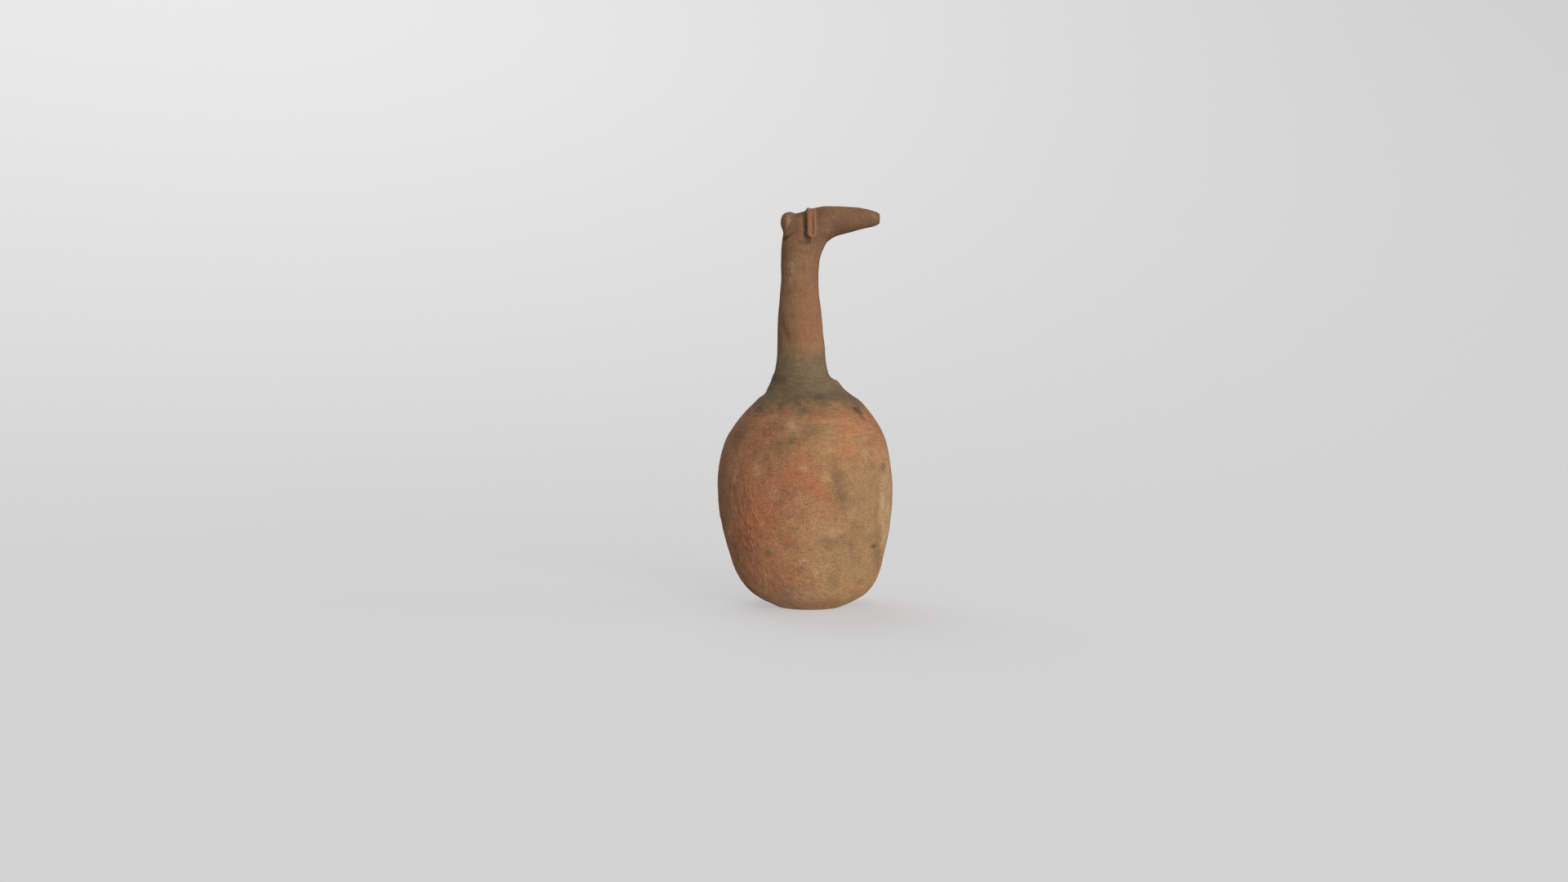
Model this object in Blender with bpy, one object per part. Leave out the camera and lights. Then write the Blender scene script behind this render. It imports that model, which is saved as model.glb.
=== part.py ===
"""Clay ritual vase: a hand-built bottle of fired clay whose long neck ends in an animal's head.

Metres, +Z up, +X the way the snout points. The origin is on the floor under the middle of the body.
The vase is one fired piece: body, neck, head, ear roll and nape knob are all of the same clay. It is
hollow from the floor of the body to the small mouth at the tip of the snout.

The wall is one closed skin, carried through a row of sections. Each section is an oval that spans from a
point on the back outline to a point on the front outline. Sections lie flat in the body and the neck, and
fan round the throat until they stand upright in the snout. At the mouth the row turns inwards over the
lip and runs back down the inside, a wall's thickness away.
"""

from math import copysign, cos, pi, radians, sin

import bmesh
import bpy
import numpy as np
from mathutils import Matrix, Vector
from mathutils.bvhtree import BVHTree

MM = 0.001

# Body
BODY_HEIGHT = 180.0 * MM  # floor to the root of the neck
BODY_RADIUS = 72.1 * MM
FOOT_RADIUS = 27.5 * MM  # flat on the rounded bottom, on which the vase stands
FOOT_SHIFT = 3.5 * MM  # how far the flat lies in front of the body's axis
BODY_DEPTH_SHARE = 0.985  # depth over width: the body is slightly out of round

# Neck
NECK_LENGTH = 100.0 * MM  # root of the neck to the level of the throat
NECK_ROOT_RADIUS = 30.8 * MM
NECK_RADIUS = 15.5 * MM  # at its narrowest, under the throat
NECK_LEAN = 4.2 * MM  # how far the neck's top stands back from the body's axis

# Head
HEAD_HEIGHT = 50.0 * MM  # throat to the top of the snout
HEAD_HALF_WIDTH = 15.5 * MM
SNOUT_REACH = 66.1 * MM  # from the neck's axis to the tip
MOUTH_HALF_WIDTH = 4.2 * MM
MOUTH_HALF_HEIGHT = 3.2 * MM
LIP = 1.2 * MM  # from the mouth's edge to the crest of the lip
LIP_DEPTH = 2.4 * MM  # from the crest back to where the bore begins to open out

# Walls
FLOOR_WALL = 8.0 * MM
BODY_WALL = 6.5 * MM
NECK_WALL = 5.5 * MM
SNOUT_WALL = 4.6 * MM
FLOOR_CORNER = 1.6 * MM  # height over which the inner wall turns into the floor of the hollow

# Roll of clay laid over the crown, whose ends hang on the cheeks as ears
EAR_PLACE = 8.7 * MM  # in front of the neck's axis, at the crown
EAR_RAKE = 0.9 * MM  # how far further back its tips hang
EAR_WIDTH = 7.4 * MM
EAR_CROWN_WIDTH = 5.4 * MM
EAR_STAND = 2.4 * MM  # how far the roll stands out of the cheeks
EAR_CROWN_STAND = 1.0 * MM  # and out of the crown
EAR_SINK = 1.8 * MM  # how far it is pressed into the head
EAR_DROP = 27.0 * MM  # crown to the tips of the ears

# Knob pinched up at the nape
KNOB_HALF_LENGTH = 6.5 * MM
KNOB_HALF_WIDTH = 8.0 * MM
KNOB_HALF_HEIGHT = 9.2 * MM
KNOB_STAND = 6.2 * MM  # how far it stands out of the nape, at its middle
KNOB_DROP = 4.0 * MM  # top of the snout to the top of the knob

# Number of faces
SIDES = 48
BODY_RINGS = 24
NECK_RINGS = 11
HEAD_RINGS = 25
LIP_RINGS = 2
INSIDE_STEP = 2  # the inside keeps every second ring
EAR_RINGS = 22
EAR_END_RINGS = 4
EAR_SIDES = 12
KNOB_SEGMENTS = 20
KNOB_RINGS = 12

LEAST_COSINE = 0.42  # a wall that slants more than this across its section gets no thicker
SMOOTH_UP_TO = 40.0  # degrees between two faces that are still shaded as one surface

CLAY_COLOUR = (0.32, 0.155, 0.082, 1.0)
CLAY_ROUGHNESS = 0.88

# Share of the body's height, then the reach of the back and of the front, as shares of its radius
BODY_OUTLINE = (
    (0.014, 0.400, 0.510),
    (0.034, 0.505, 0.605),
    (0.056, 0.585, 0.695),
    (0.084, 0.665, 0.760),
    (0.120, 0.735, 0.815),
    (0.170, 0.802, 0.860),
    (0.245, 0.867, 0.912),
    (0.350, 0.942, 0.964),
    (0.460, 0.990, 0.990),
    (0.565, 1.000, 1.000),
    (0.670, 0.975, 0.975),
    (0.755, 0.915, 0.925),
    (0.830, 0.805, 0.840),
    (0.890, 0.680, 0.745),
    (0.940, 0.550, 0.630),
    (0.972, 0.460, 0.510),
)

# Share of the neck's length, share of its lean, and its radius as a share of the narrowest
NECK_OUTLINE = (
    (0.045, 0.36, 1.76),
    (0.085, 0.70, 1.575),
    (0.150, 0.66, 1.40),
    (0.220, 0.70, 1.305),
    (0.330, 0.76, 1.265),
    (0.450, 0.95, 1.205),
    (0.620, 1.04, 1.135),
    (0.780, 1.08, 1.030),
    (0.900, 1.02, 0.995),
)

# Back or top point, front or underside point, and half width. Places along X are shares of the snout's
# reach from the neck's axis, heights are shares of the head's height above the throat, and half widths
# are shares of the head's own
HEAD_OUTLINE = (
    ((-0.236, 0.06), (0.243, 0.04), 1.00),
    ((-0.230, 0.34), (0.262, 0.15), 1.00),
    ((-0.207, 0.55), (0.286, 0.24), 1.02),
    ((-0.157, 0.716), (0.313, 0.315), 1.04),
    ((-0.044, 0.874), (0.347, 0.386), 1.05),
    ((0.109, 0.940), (0.398, 0.446), 1.00),
    ((0.270, 0.996), (0.470, 0.503), 0.92),
    ((0.430, 1.002), (0.560, 0.540), 0.83),
    ((0.600, 0.998), (0.660, 0.572), 0.74),
    ((0.750, 0.984), (0.770, 0.610), 0.65),
    ((0.860, 0.956), (0.865, 0.641), 0.56),
    ((0.930, 0.928), (0.930, 0.664), 0.48),
    ((0.980, 0.890), (0.980, 0.702), 0.40),
)
MOUTH_SHARE = 0.796  # height of the mouth's middle above the throat, as a share of the head's height

THROAT_LEVEL = BODY_HEIGHT + NECK_LENGTH
TOP_LEVEL = THROAT_LEVEL + HEAD_HEIGHT
NECK_AXIS_X = -NECK_LEAN
TIP_X = NECK_AXIS_X + SNOUT_REACH
MOUTH_Z = THROAT_LEVEL + MOUTH_SHARE * HEAD_HEIGHT
EAR_QUARTER = HEAD_HALF_WIDTH * pi / 2  # length of the roll from the crown to where it hangs straight
EAR_HALF_LENGTH = EAR_QUARTER + EAR_DROP - HEAD_HALF_WIDTH

# Columns of a section: back X and Z, front X and Z, and half its width, along Y
BACK, FRONT, SIDEWAYS = slice(0, 2), slice(2, 4), 4


def clear_scene():
    for old in list(bpy.data.objects):
        bpy.data.objects.remove(old, do_unlink=True)


def body_sections():
    rows = [(FOOT_SHIFT - FOOT_RADIUS, 0.0, FOOT_SHIFT + FOOT_RADIUS, 0.0, FOOT_RADIUS)]
    for level, back, front in BODY_OUTLINE:
        z = level * BODY_HEIGHT
        half_width = (back + front) / 2 * BODY_RADIUS * BODY_DEPTH_SHARE
        rows.append((-back * BODY_RADIUS, z, front * BODY_RADIUS, z, half_width))
    return rows


def neck_sections():
    rows = [(-NECK_ROOT_RADIUS, BODY_HEIGHT, NECK_ROOT_RADIUS, BODY_HEIGHT, NECK_ROOT_RADIUS)]
    for level, lean, share in NECK_OUTLINE:
        z = BODY_HEIGHT + level * NECK_LENGTH
        radius = share * NECK_RADIUS
        middle = -lean * NECK_LEAN
        rows.append((middle - radius, z, middle + radius, z, radius))
    return rows


def head_sections():
    rows = []
    for back, front, share in HEAD_OUTLINE:
        points = []
        for along, up in (back, front):
            points += [NECK_AXIS_X + along * SNOUT_REACH, THROAT_LEVEL + up * HEAD_HEIGHT]
        rows.append((*points, share * HEAD_HALF_WIDTH))
    rows.append(mouth_section(TIP_X, LIP))
    return rows


def mouth_section(x, beyond):
    """An upright oval round the mouth's middle, that far beyond its edge."""
    half_height = MOUTH_HALF_HEIGHT + beyond
    return (x, MOUTH_Z + half_height, x, MOUTH_Z - half_height, MOUTH_HALF_WIDTH + beyond)


def along_curve(rows, knots, at):
    """A cubic through the rows. Its slope at a row is that of the parabola through it and its neighbours."""
    steps = np.diff(knots)[:, None]
    slopes = np.diff(rows, axis=0) / steps
    middle = (slopes[:-1] * steps[1:] + slopes[1:] * steps[:-1]) / (steps[:-1] + steps[1:])
    tangents = np.vstack([slopes[0], middle, slopes[-1]])
    index = np.clip(np.searchsorted(knots, at, side="right") - 1, 0, len(steps) - 1)
    span = steps[index]
    t = (at - knots[index])[:, None] / span
    return (
        (2 * t**3 - 3 * t**2 + 1) * rows[index]
        + (t**3 - 2 * t**2 + t) * span * tangents[index]
        + (3 * t**2 - 2 * t**3) * rows[index + 1]
        + (t**3 - t**2) * span * tangents[index + 1]
    )


def outside_sections():
    """The sections of the outside, foot to lip, with the wall's thickness at each."""
    body, neck, head = body_sections(), neck_sections(), head_sections()
    rows = np.array(body + neck + head)
    back_moved = np.linalg.norm(np.diff(rows[:, BACK], axis=0), axis=1)
    front_moved = np.linalg.norm(np.diff(rows[:, FRONT], axis=0), axis=1)
    knots = np.concatenate([[0.0], np.cumsum((back_moved + front_moved) / 2)])
    root, throat = knots[len(body)], knots[len(body) + len(neck)]
    at = np.concatenate(
        [
            np.linspace(0.0, root, BODY_RINGS, endpoint=False),
            np.linspace(root, throat, NECK_RINGS, endpoint=False),
            np.linspace(throat, knots[-1], HEAD_RINGS),
        ]
    )
    walls = np.interp(at, [0.0, root, throat, knots[-1]], [BODY_WALL, BODY_WALL, NECK_WALL, SNOUT_WALL])
    return along_curve(rows, knots, at), walls


def inside_sections(outside, walls):
    """Each section drawn in by the wall, measured square to the wall, and never smaller than the mouth."""
    inward = outside[:, FRONT] - outside[:, BACK]
    inward /= np.linalg.norm(inward, axis=1)[:, None]
    normals = np.column_stack([-inward[:, 1], inward[:, 0]])
    inside = outside.copy()
    squareness = []
    for rail, sense in ((BACK, 1.0), (FRONT, -1.0)):
        run = np.gradient(outside[:, rail], axis=0)
        run /= np.linalg.norm(run, axis=1)[:, None]
        cosine = np.clip(np.abs(np.sum(run * normals, axis=1)), LEAST_COSINE, 1.0)
        inside[:, rail] += sense * inward * (walls / cosine)[:, None]
        squareness.append(cosine)
    inside[:, SIDEWAYS] -= walls / np.mean(squareness, axis=0)
    middles = (outside[:, BACK] + outside[:, FRONT]) / 2
    halves = np.sum((inside[:, FRONT] - inside[:, BACK]) * inward, axis=1) / 2
    tight = halves < MOUTH_HALF_HEIGHT
    inside[tight, BACK] = (middles - inward * MOUTH_HALF_HEIGHT)[tight]
    inside[tight, FRONT] = (middles + inward * MOUTH_HALF_HEIGHT)[tight]
    inside[:, SIDEWAYS] = np.maximum(inside[:, SIDEWAYS], MOUTH_HALF_WIDTH)
    return inside


def floor_section(inside):
    """The inside's section at the level of the floor of the hollow."""
    levels = inside[:BODY_RINGS, 1]
    row = np.array([np.interp(FLOOR_WALL, levels, inside[:BODY_RINGS, k]) for k in range(inside.shape[1])])
    row[[1, 3]] = FLOOR_WALL
    return row


def lip_sections():
    """A quarter round from the crest of the lip in to the edge of the mouth."""
    rows = []
    for turn in np.linspace(0.0, pi / 2, LIP_RINGS + 1)[1:]:
        rows.append(mouth_section(TIP_X - LIP * (1 - cos(turn)), LIP * (1 - sin(turn))))
    return rows


def skin_sections():
    """Every section of the closed skin, up the outside and back down the inside."""
    outside, walls = outside_sections()
    inside = inside_sections(outside, walls)
    clear_of_floor = np.minimum(inside[:, 1], inside[:, 3]) > FLOOR_WALL + FLOOR_CORNER
    clear_of_lip = inside[:, 0] < TIP_X - LIP_DEPTH
    kept = inside[clear_of_floor & clear_of_lip][::-1][::INSIDE_STEP]
    return np.vstack([outside, lip_sections(), kept, floor_section(inside)])


def ring(section):
    """The section's oval, from its front point round by +Y."""
    middle = (section[BACK] + section[FRONT]) / 2
    reach = (section[FRONT] - section[BACK]) / 2
    turns = np.arange(SIDES) * 2 * pi / SIDES
    x = middle[0] + np.cos(turns) * reach[0]
    y = np.sin(turns) * section[SIDEWAYS]
    z = middle[1] + np.cos(turns) * reach[1]
    return np.column_stack([x, y, z])


def object_of(name, points, faces):
    mesh = bpy.data.meshes.new(name)
    mesh.from_pydata([tuple(p) for p in points], [], faces)
    made = bpy.data.objects.new(name, mesh)
    bpy.context.scene.collection.objects.link(made)
    return made


def tube_faces(rings, sides):
    """Quads between successive rings, and a cap on the first and the last."""
    faces = [tuple(reversed(range(sides)))]
    for low in range(0, (rings - 1) * sides, sides):
        for side in range(sides):
            after = (side + 1) % sides
            faces.append((low + side, low + after, low + sides + after, low + sides + side))
    faces.append(tuple(range((rings - 1) * sides, rings * sides)))
    return faces


def make_skin(name):
    sections = skin_sections()
    points = np.vstack([ring(section) for section in sections])
    return object_of(name, points, tube_faces(len(sections), SIDES))


def surface_from(tree, pivot, direction):
    """Where the outside is met by a line from far off towards the pivot."""
    far = SNOUT_REACH + TOP_LEVEL
    return tree.ray_cast(pivot + direction * far, -direction)[0]


def ear_stations():
    """Distances from the crown at which the roll has a ring, each with its share of full size."""
    end = EAR_WIDTH / 2
    turns = np.linspace(0.0, pi / 2, EAR_END_RINGS + 1)[1:]
    tip = -EAR_HALF_LENGTH + end * (1 - np.cos(turns))
    straight = np.linspace(tip[-1], -tip[-1], EAR_RINGS)[1:-1]
    at = np.concatenate([tip, straight, -tip[::-1]])
    sizes = np.concatenate([np.sin(turns), np.ones(len(straight)), np.sin(turns[::-1])])
    return zip(at, sizes)


def ear_section(tree, crown, travelled):
    """Middle of the roll that far from the crown, the way out of the head, and half its thickness."""
    hang = min(abs(travelled), EAR_QUARTER) / EAR_QUARTER
    turn = hang * pi / 2
    direction = Vector((0, copysign(sin(turn), travelled), cos(turn)))
    back = EAR_RAKE * (travelled / EAR_HALF_LENGTH) ** 2
    below = HEAD_HALF_WIDTH + max(abs(travelled) - EAR_QUARTER, 0.0)
    surface = surface_from(tree, crown - Vector((back, 0, below)), direction)
    stand = EAR_CROWN_STAND + (EAR_STAND - EAR_CROWN_STAND) * hang
    return surface + direction * (stand - EAR_SINK) / 2, direction, (stand + EAR_SINK) / 2


def make_ear_roll(name, tree):
    """A roll with round ends that follows the head from one cheek over the crown to the other."""
    above_crown = Vector((NECK_AXIS_X + EAR_PLACE, 0, THROAT_LEVEL))
    crown = surface_from(tree, above_crown, Vector((0, 0, 1)))
    stations = list(ear_stations())
    sections = [ear_section(tree, crown, travelled) for travelled, _ in stations]
    points = []
    for index, (travelled, size) in enumerate(stations):
        middle, direction, thick = sections[index]
        before = sections[max(index - 1, 0)][0]
        after = sections[min(index + 1, len(sections) - 1)][0]
        along = (after - before).normalized()
        across = direction.cross(along).normalized()
        out = along.cross(across)
        widening = min(abs(travelled) / EAR_QUARTER, 1.0)
        width = EAR_CROWN_WIDTH + (EAR_WIDTH - EAR_CROWN_WIDTH) * widening
        for side in range(EAR_SIDES):
            turn = side * 2 * pi / EAR_SIDES
            offset = across * cos(turn) * width / 2 + out * sin(turn) * thick
            points.append(middle + offset * size)
    return object_of(name, points, tube_faces(len(sections), EAR_SIDES))


def make_knob(name, tree):
    """A ball of clay, drawn out upwards and sideways, that stands out of the nape."""
    middle = Vector((NECK_AXIS_X, 0, TOP_LEVEL - KNOB_DROP - KNOB_HALF_HEIGHT))
    nape = surface_from(tree, middle, Vector((-1, 0, 0)))
    middle.x = nape.x - KNOB_STAND + KNOB_HALF_LENGTH
    size = Matrix.Diagonal((KNOB_HALF_LENGTH, KNOB_HALF_WIDTH, KNOB_HALF_HEIGHT, 1))
    place = Matrix.Translation(middle) @ size
    mesh = bpy.data.meshes.new(name)
    shape = bmesh.new()
    bmesh.ops.create_uvsphere(
        shape, u_segments=KNOB_SEGMENTS, v_segments=KNOB_RINGS, radius=1.0, matrix=place
    )
    shape.to_mesh(mesh)
    shape.free()
    made = bpy.data.objects.new(name, mesh)
    bpy.context.scene.collection.objects.link(made)
    return made


def join_on(target, piece):
    """Fuses the piece into the target, and keeps the piece itself out of the model."""
    piece.hide_render = True
    piece.display_type = "WIRE"
    union = target.modifiers.new("join_" + piece.name, "BOOLEAN")
    union.operation = "UNION"
    union.solver = "EXACT"
    union.object = piece


def clay():
    made = bpy.data.materials.new("fired_clay")
    made.use_nodes = True
    shader = made.node_tree.nodes["Principled BSDF"]
    shader.inputs["Base Color"].default_value = CLAY_COLOUR
    shader.inputs["Roughness"].default_value = CLAY_ROUGHNESS
    shader.inputs["Metallic"].default_value = 0.0
    return made


def main():
    clear_scene()
    vase = make_skin("clay_vase")
    tree = BVHTree.FromObject(vase, bpy.context.evaluated_depsgraph_get())
    join_on(vase, make_ear_roll("ear_roll", tree))
    join_on(vase, make_knob("nape_knob", tree))
    vase.data.materials.append(clay())
    vase.data.shade_smooth()
    vase.data.set_sharp_from_angle(angle=radians(SMOOTH_UP_TO))


main()
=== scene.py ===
"""Clay ritual vase: the hand-worked surface of its fired clay, and the studio that it stands in.

+Z is up, +X is the way the snout points, and the origin is on the floor under the body. Sizes and places
are in millimetres here, and become metres when they go into a mesh, a material, a lamp or the camera.
Marks and stains of the near side are placed on the upright plane through the vase's axis, as the camera
sees them: across is the distance to the right of the axis, and up is the height above the floor.
"""

import logging
from dataclasses import dataclass, field
from enum import Enum

import bpy
import numpy as np
from mathutils import Matrix, Vector


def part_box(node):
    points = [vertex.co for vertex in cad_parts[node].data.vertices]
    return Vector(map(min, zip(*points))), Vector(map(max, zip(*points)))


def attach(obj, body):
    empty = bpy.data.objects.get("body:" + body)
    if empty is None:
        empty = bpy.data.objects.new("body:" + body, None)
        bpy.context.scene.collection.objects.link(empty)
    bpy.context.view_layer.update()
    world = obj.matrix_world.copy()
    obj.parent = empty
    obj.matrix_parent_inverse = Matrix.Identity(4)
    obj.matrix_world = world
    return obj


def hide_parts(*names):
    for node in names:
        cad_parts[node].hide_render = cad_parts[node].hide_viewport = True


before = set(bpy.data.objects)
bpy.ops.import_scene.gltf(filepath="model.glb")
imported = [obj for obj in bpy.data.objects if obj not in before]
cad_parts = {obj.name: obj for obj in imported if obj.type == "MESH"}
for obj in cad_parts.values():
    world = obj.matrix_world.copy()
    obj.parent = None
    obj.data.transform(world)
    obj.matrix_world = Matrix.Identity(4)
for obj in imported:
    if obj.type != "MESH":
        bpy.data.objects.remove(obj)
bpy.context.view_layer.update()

logging.basicConfig(level=logging.INFO, format="%(name)s: %(message)s")
log = logging.getLogger("clay_vase")

MM = 0.001  # a millimetre in metres
CAD_NODE = "clay_vase"
BODY = "root"

BACK, FRONT, SIDEWAYS = slice(0, 2), slice(2, 4), 4  # columns of a section

TINY = 1e-6  # the least number that is divided by
MIDDLE = 0.5  # the mean of a material's noise
MIX_SOCKETS = (0, 6, 7)  # of a node that mixes colours: the share and the two colours

Array = np.ndarray
Pair = tuple[float, float]
Triple = tuple[float, float, float]
Numbers = tuple[float, ...]
Rows = tuple[Numbers, ...]
Counts = tuple[int, int, int]  # sections in the body, the neck and the head
Colour = Numbers  # red, green, blue and 1, in linear light
Socket = bpy.types.NodeSocket


def smooth_step(low: float, high: float, value: Array) -> Array:
    """Rises from 0 at low to 1 at high as 3t^2 - 2t^3, level at both ends.

    Args:
        low: Where the rise begins.
        high: Where it ends. It may be below low, and then the step falls.
        value: The numbers to place on the step.

    Returns:
        A share from 0 to 1 for each number.
    """
    share = np.clip((value - low) / (high - low), 0.0, 1.0)
    return share**2 * (3 - 2 * share)


def window(limits: Numbers, value: Array) -> Array:
    """Rises from 0 to 1 between the first two limits, and falls back between the last two.

    Args:
        limits: Four rising numbers.
        value: The numbers to judge.

    Returns:
        A share from 0 to 1 for each number.
    """
    return smooth_step(limits[0], limits[1], value) * smooth_step(limits[3], limits[2], value)


def covered(mask: Array, share: Array) -> Array:
    """One share laid over another. Each leaves 1 less itself bare, and together they leave the product."""
    return 1 - (1 - mask) * (1 - share)


def turned(right: Array, above: Array, degrees: float) -> tuple[Array, Array]:
    """Measures ways along and across a line that is turned anticlockwise from level.

    Args:
        right: Distances to the right.
        above: Distances upwards.
        degrees: The turn.

    Returns:
        The distances along the line, and across it.
    """
    cosine, sine = np.cos(np.radians(degrees)), np.sin(np.radians(degrees))
    return right * cosine + above * sine, above * cosine - right * sine


def along_curve(rows: Array, knots: Array, at: Array) -> Array:
    """A cubic through the rows. Its slope at a row is that of the parabola through it and its neighbours.

    Args:
        rows: The values to pass through, one row of numbers for each knot.
        knots: Rising distances, one for each row.
        at: The distances to read the curve at.

    Returns:
        One row of numbers for each distance.
    """
    steps = np.diff(knots)[:, None]
    slopes = np.diff(rows, axis=0) / steps
    middle = (slopes[:-1] * steps[1:] + slopes[1:] * steps[:-1]) / (steps[:-1] + steps[1:])
    tangents = np.vstack([slopes[0], middle, slopes[-1]])
    index = np.clip(np.searchsorted(knots, at, side="right") - 1, 0, len(steps) - 1)
    span = steps[index]
    t = (at - knots[index])[:, None] / span
    return (
        (2 * t**3 - 3 * t**2 + 1) * rows[index]
        + (t**3 - 2 * t**2 + t) * span * tangents[index]
        + (3 * t**2 - 2 * t**3) * rows[index + 1]
        + (t**3 - t**2) * span * tangents[index + 1]
    )


def profile_height(profile: tuple[Pair, ...], place: Array) -> Array:
    """Reads a profile of (place, height) points as a smooth curve, level beyond its ends.

    Args:
        profile: Points of the profile, in rising places.
        place: Where to read it, in an array of any shape.

    Returns:
        The height at each place.
    """
    table = np.array(profile)
    held = np.clip(place, table[0, 0], table[-1, 0])
    return along_curve(table[:, 1:], table[:, 0], held.ravel())[:, 0].reshape(place.shape)


def crests_and_hollows(height: Array, passes: int) -> Array:
    """What stands above or lies below its surroundings: height less a soft copy of itself, in which each
    pass takes a quarter of both neighbours and half of the place itself.

    Args:
        height: Heights in rows along the vase and columns round it.
        passes: The number of passes.

    Returns:
        The difference for each place.
    """
    soft = height
    for _ in range(passes):
        soft = (np.roll(soft, 1, axis=1) + 2 * soft + np.roll(soft, -1, axis=1)) / 4
        held = np.pad(soft, ((1, 1), (0, 0)), mode="edge")
        soft = (held[:-2] + 2 * soft + held[2:]) / 4
    return height - soft


def grid_normals(points: Array) -> Array:
    """The outward way at each place of a grid: its run round the vase times its run along the vase.

    Args:
        points: Places in rows along the vase and columns round it.

    Returns:
        A unit vector for each place.
    """
    around = np.roll(points, -1, axis=1) - np.roll(points, 1, axis=1)
    onward = np.gradient(points, axis=0)
    normals = np.cross(around, onward)
    return normals / np.maximum(np.linalg.norm(normals, axis=-1, keepdims=True), TINY)


def placed_object(name: str, data: object) -> bpy.types.Object:
    """Puts a mesh, a lamp or a camera into the scene.

    Args:
        name: The object's name.
        data: What it shows.

    Returns:
        The object, at the origin.
    """
    made = bpy.data.objects.new(name, data)
    bpy.context.scene.collection.objects.link(made)
    return made


@dataclass(frozen=True)
class Noise:
    """Seeded smooth noise through space, by which the uneven forms and edges are worked out."""

    seed: int
    table_size: int = 256
    gain: float = 2.0
    layer_shift: float = 31.7  # keeps the corners of one layer's cells off those of the others

    def at(self, points: Array, cell: float | Triple) -> Array:
        """Every corner of a lattice of cells has a random direction. Its product with the way to the place
        is blended between the eight corners by 6t^5 - 15t^4 + 10t^3.

        Args:
            points: Places, with three numbers in the last axis.
            cell: The size of a cell, or its three sizes.

        Returns:
            A number for each place, mostly from -1 to 1.
        """
        rng = np.random.default_rng(self.seed)
        table = rng.permutation(self.table_size)
        ways = rng.normal(size=(self.table_size, 3))
        ways /= np.linalg.norm(ways, axis=1, keepdims=True)
        place = points / np.array(cell, float)
        corner = np.floor(place).astype(int)
        rest = place - corner
        blend = rest**3 * (rest * (rest * 6 - 15) + 10)
        total = np.zeros(points.shape[:-1])
        for step in np.ndindex(2, 2, 2):
            key = (corner + step) % self.table_size
            index = (table[key[..., 0]] + key[..., 1]) % self.table_size
            index = table[(table[index] + key[..., 2]) % self.table_size]
            weight = np.prod(np.where(np.array(step) == 1, blend, 1 - blend), axis=-1)
            total += weight * np.sum(ways[index] * (rest - step), axis=-1)
        return total * self.gain

    def layered(self, points: Array, cell: float, layers: int) -> Array:
        """Adds up layers of noise, each of half the size and half the strength of the last one.

        Args:
            points: Places, with three numbers in the last axis.
            cell: The size of the first layer's cells.
            layers: The number of layers.

        Returns:
            A number for each place, mostly from -1 to 1.
        """
        shares = 0.5 ** np.arange(layers)
        moved = [points + self.layer_shift * i for i in range(layers)]
        total = sum(share * self.at(place, cell * share) for place, share in zip(moved, shares))
        return total / np.sqrt(np.sum(shares**2))


@dataclass(frozen=True)
class View:
    """Places of a surface, and where the camera sees them on the upright plane through the vase's axis."""

    points: Array
    normals: Array  # the outward ways
    across: Array
    up: Array
    facing: Array  # cosine between the outward way and the way to the camera, below 0 on the far side


@dataclass(frozen=True)
class Eye:
    """The camera's place, from which the near side is seen square to the plane through the vase's axis."""

    across: float = -17.3
    away: float = 882.8
    up: float = 135.7
    focal_pixels: float = 1304.0
    picture_width: float = 1920.0

    @property
    def place(self) -> Array:
        """The camera's place in space."""
        return np.array([self.across, -self.away, self.up])

    def view(self, points: Array, normals: Array) -> View:
        """The line from the camera through a point meets the plane after away / (y + away) of its way.

        Args:
            points: Places of a surface.
            normals: Its outward ways.

        Returns:
            The places as the camera sees them.
        """
        stretch = self.away / (points[..., 1] + self.away)
        across = self.across + (points[..., 0] - self.across) * stretch
        up = self.up + (points[..., 2] - self.up) * stretch
        way = self.place - points
        way /= np.linalg.norm(way, axis=-1, keepdims=True)
        return View(points, normals, across, up, np.sum(way * normals, axis=-1))


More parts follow.
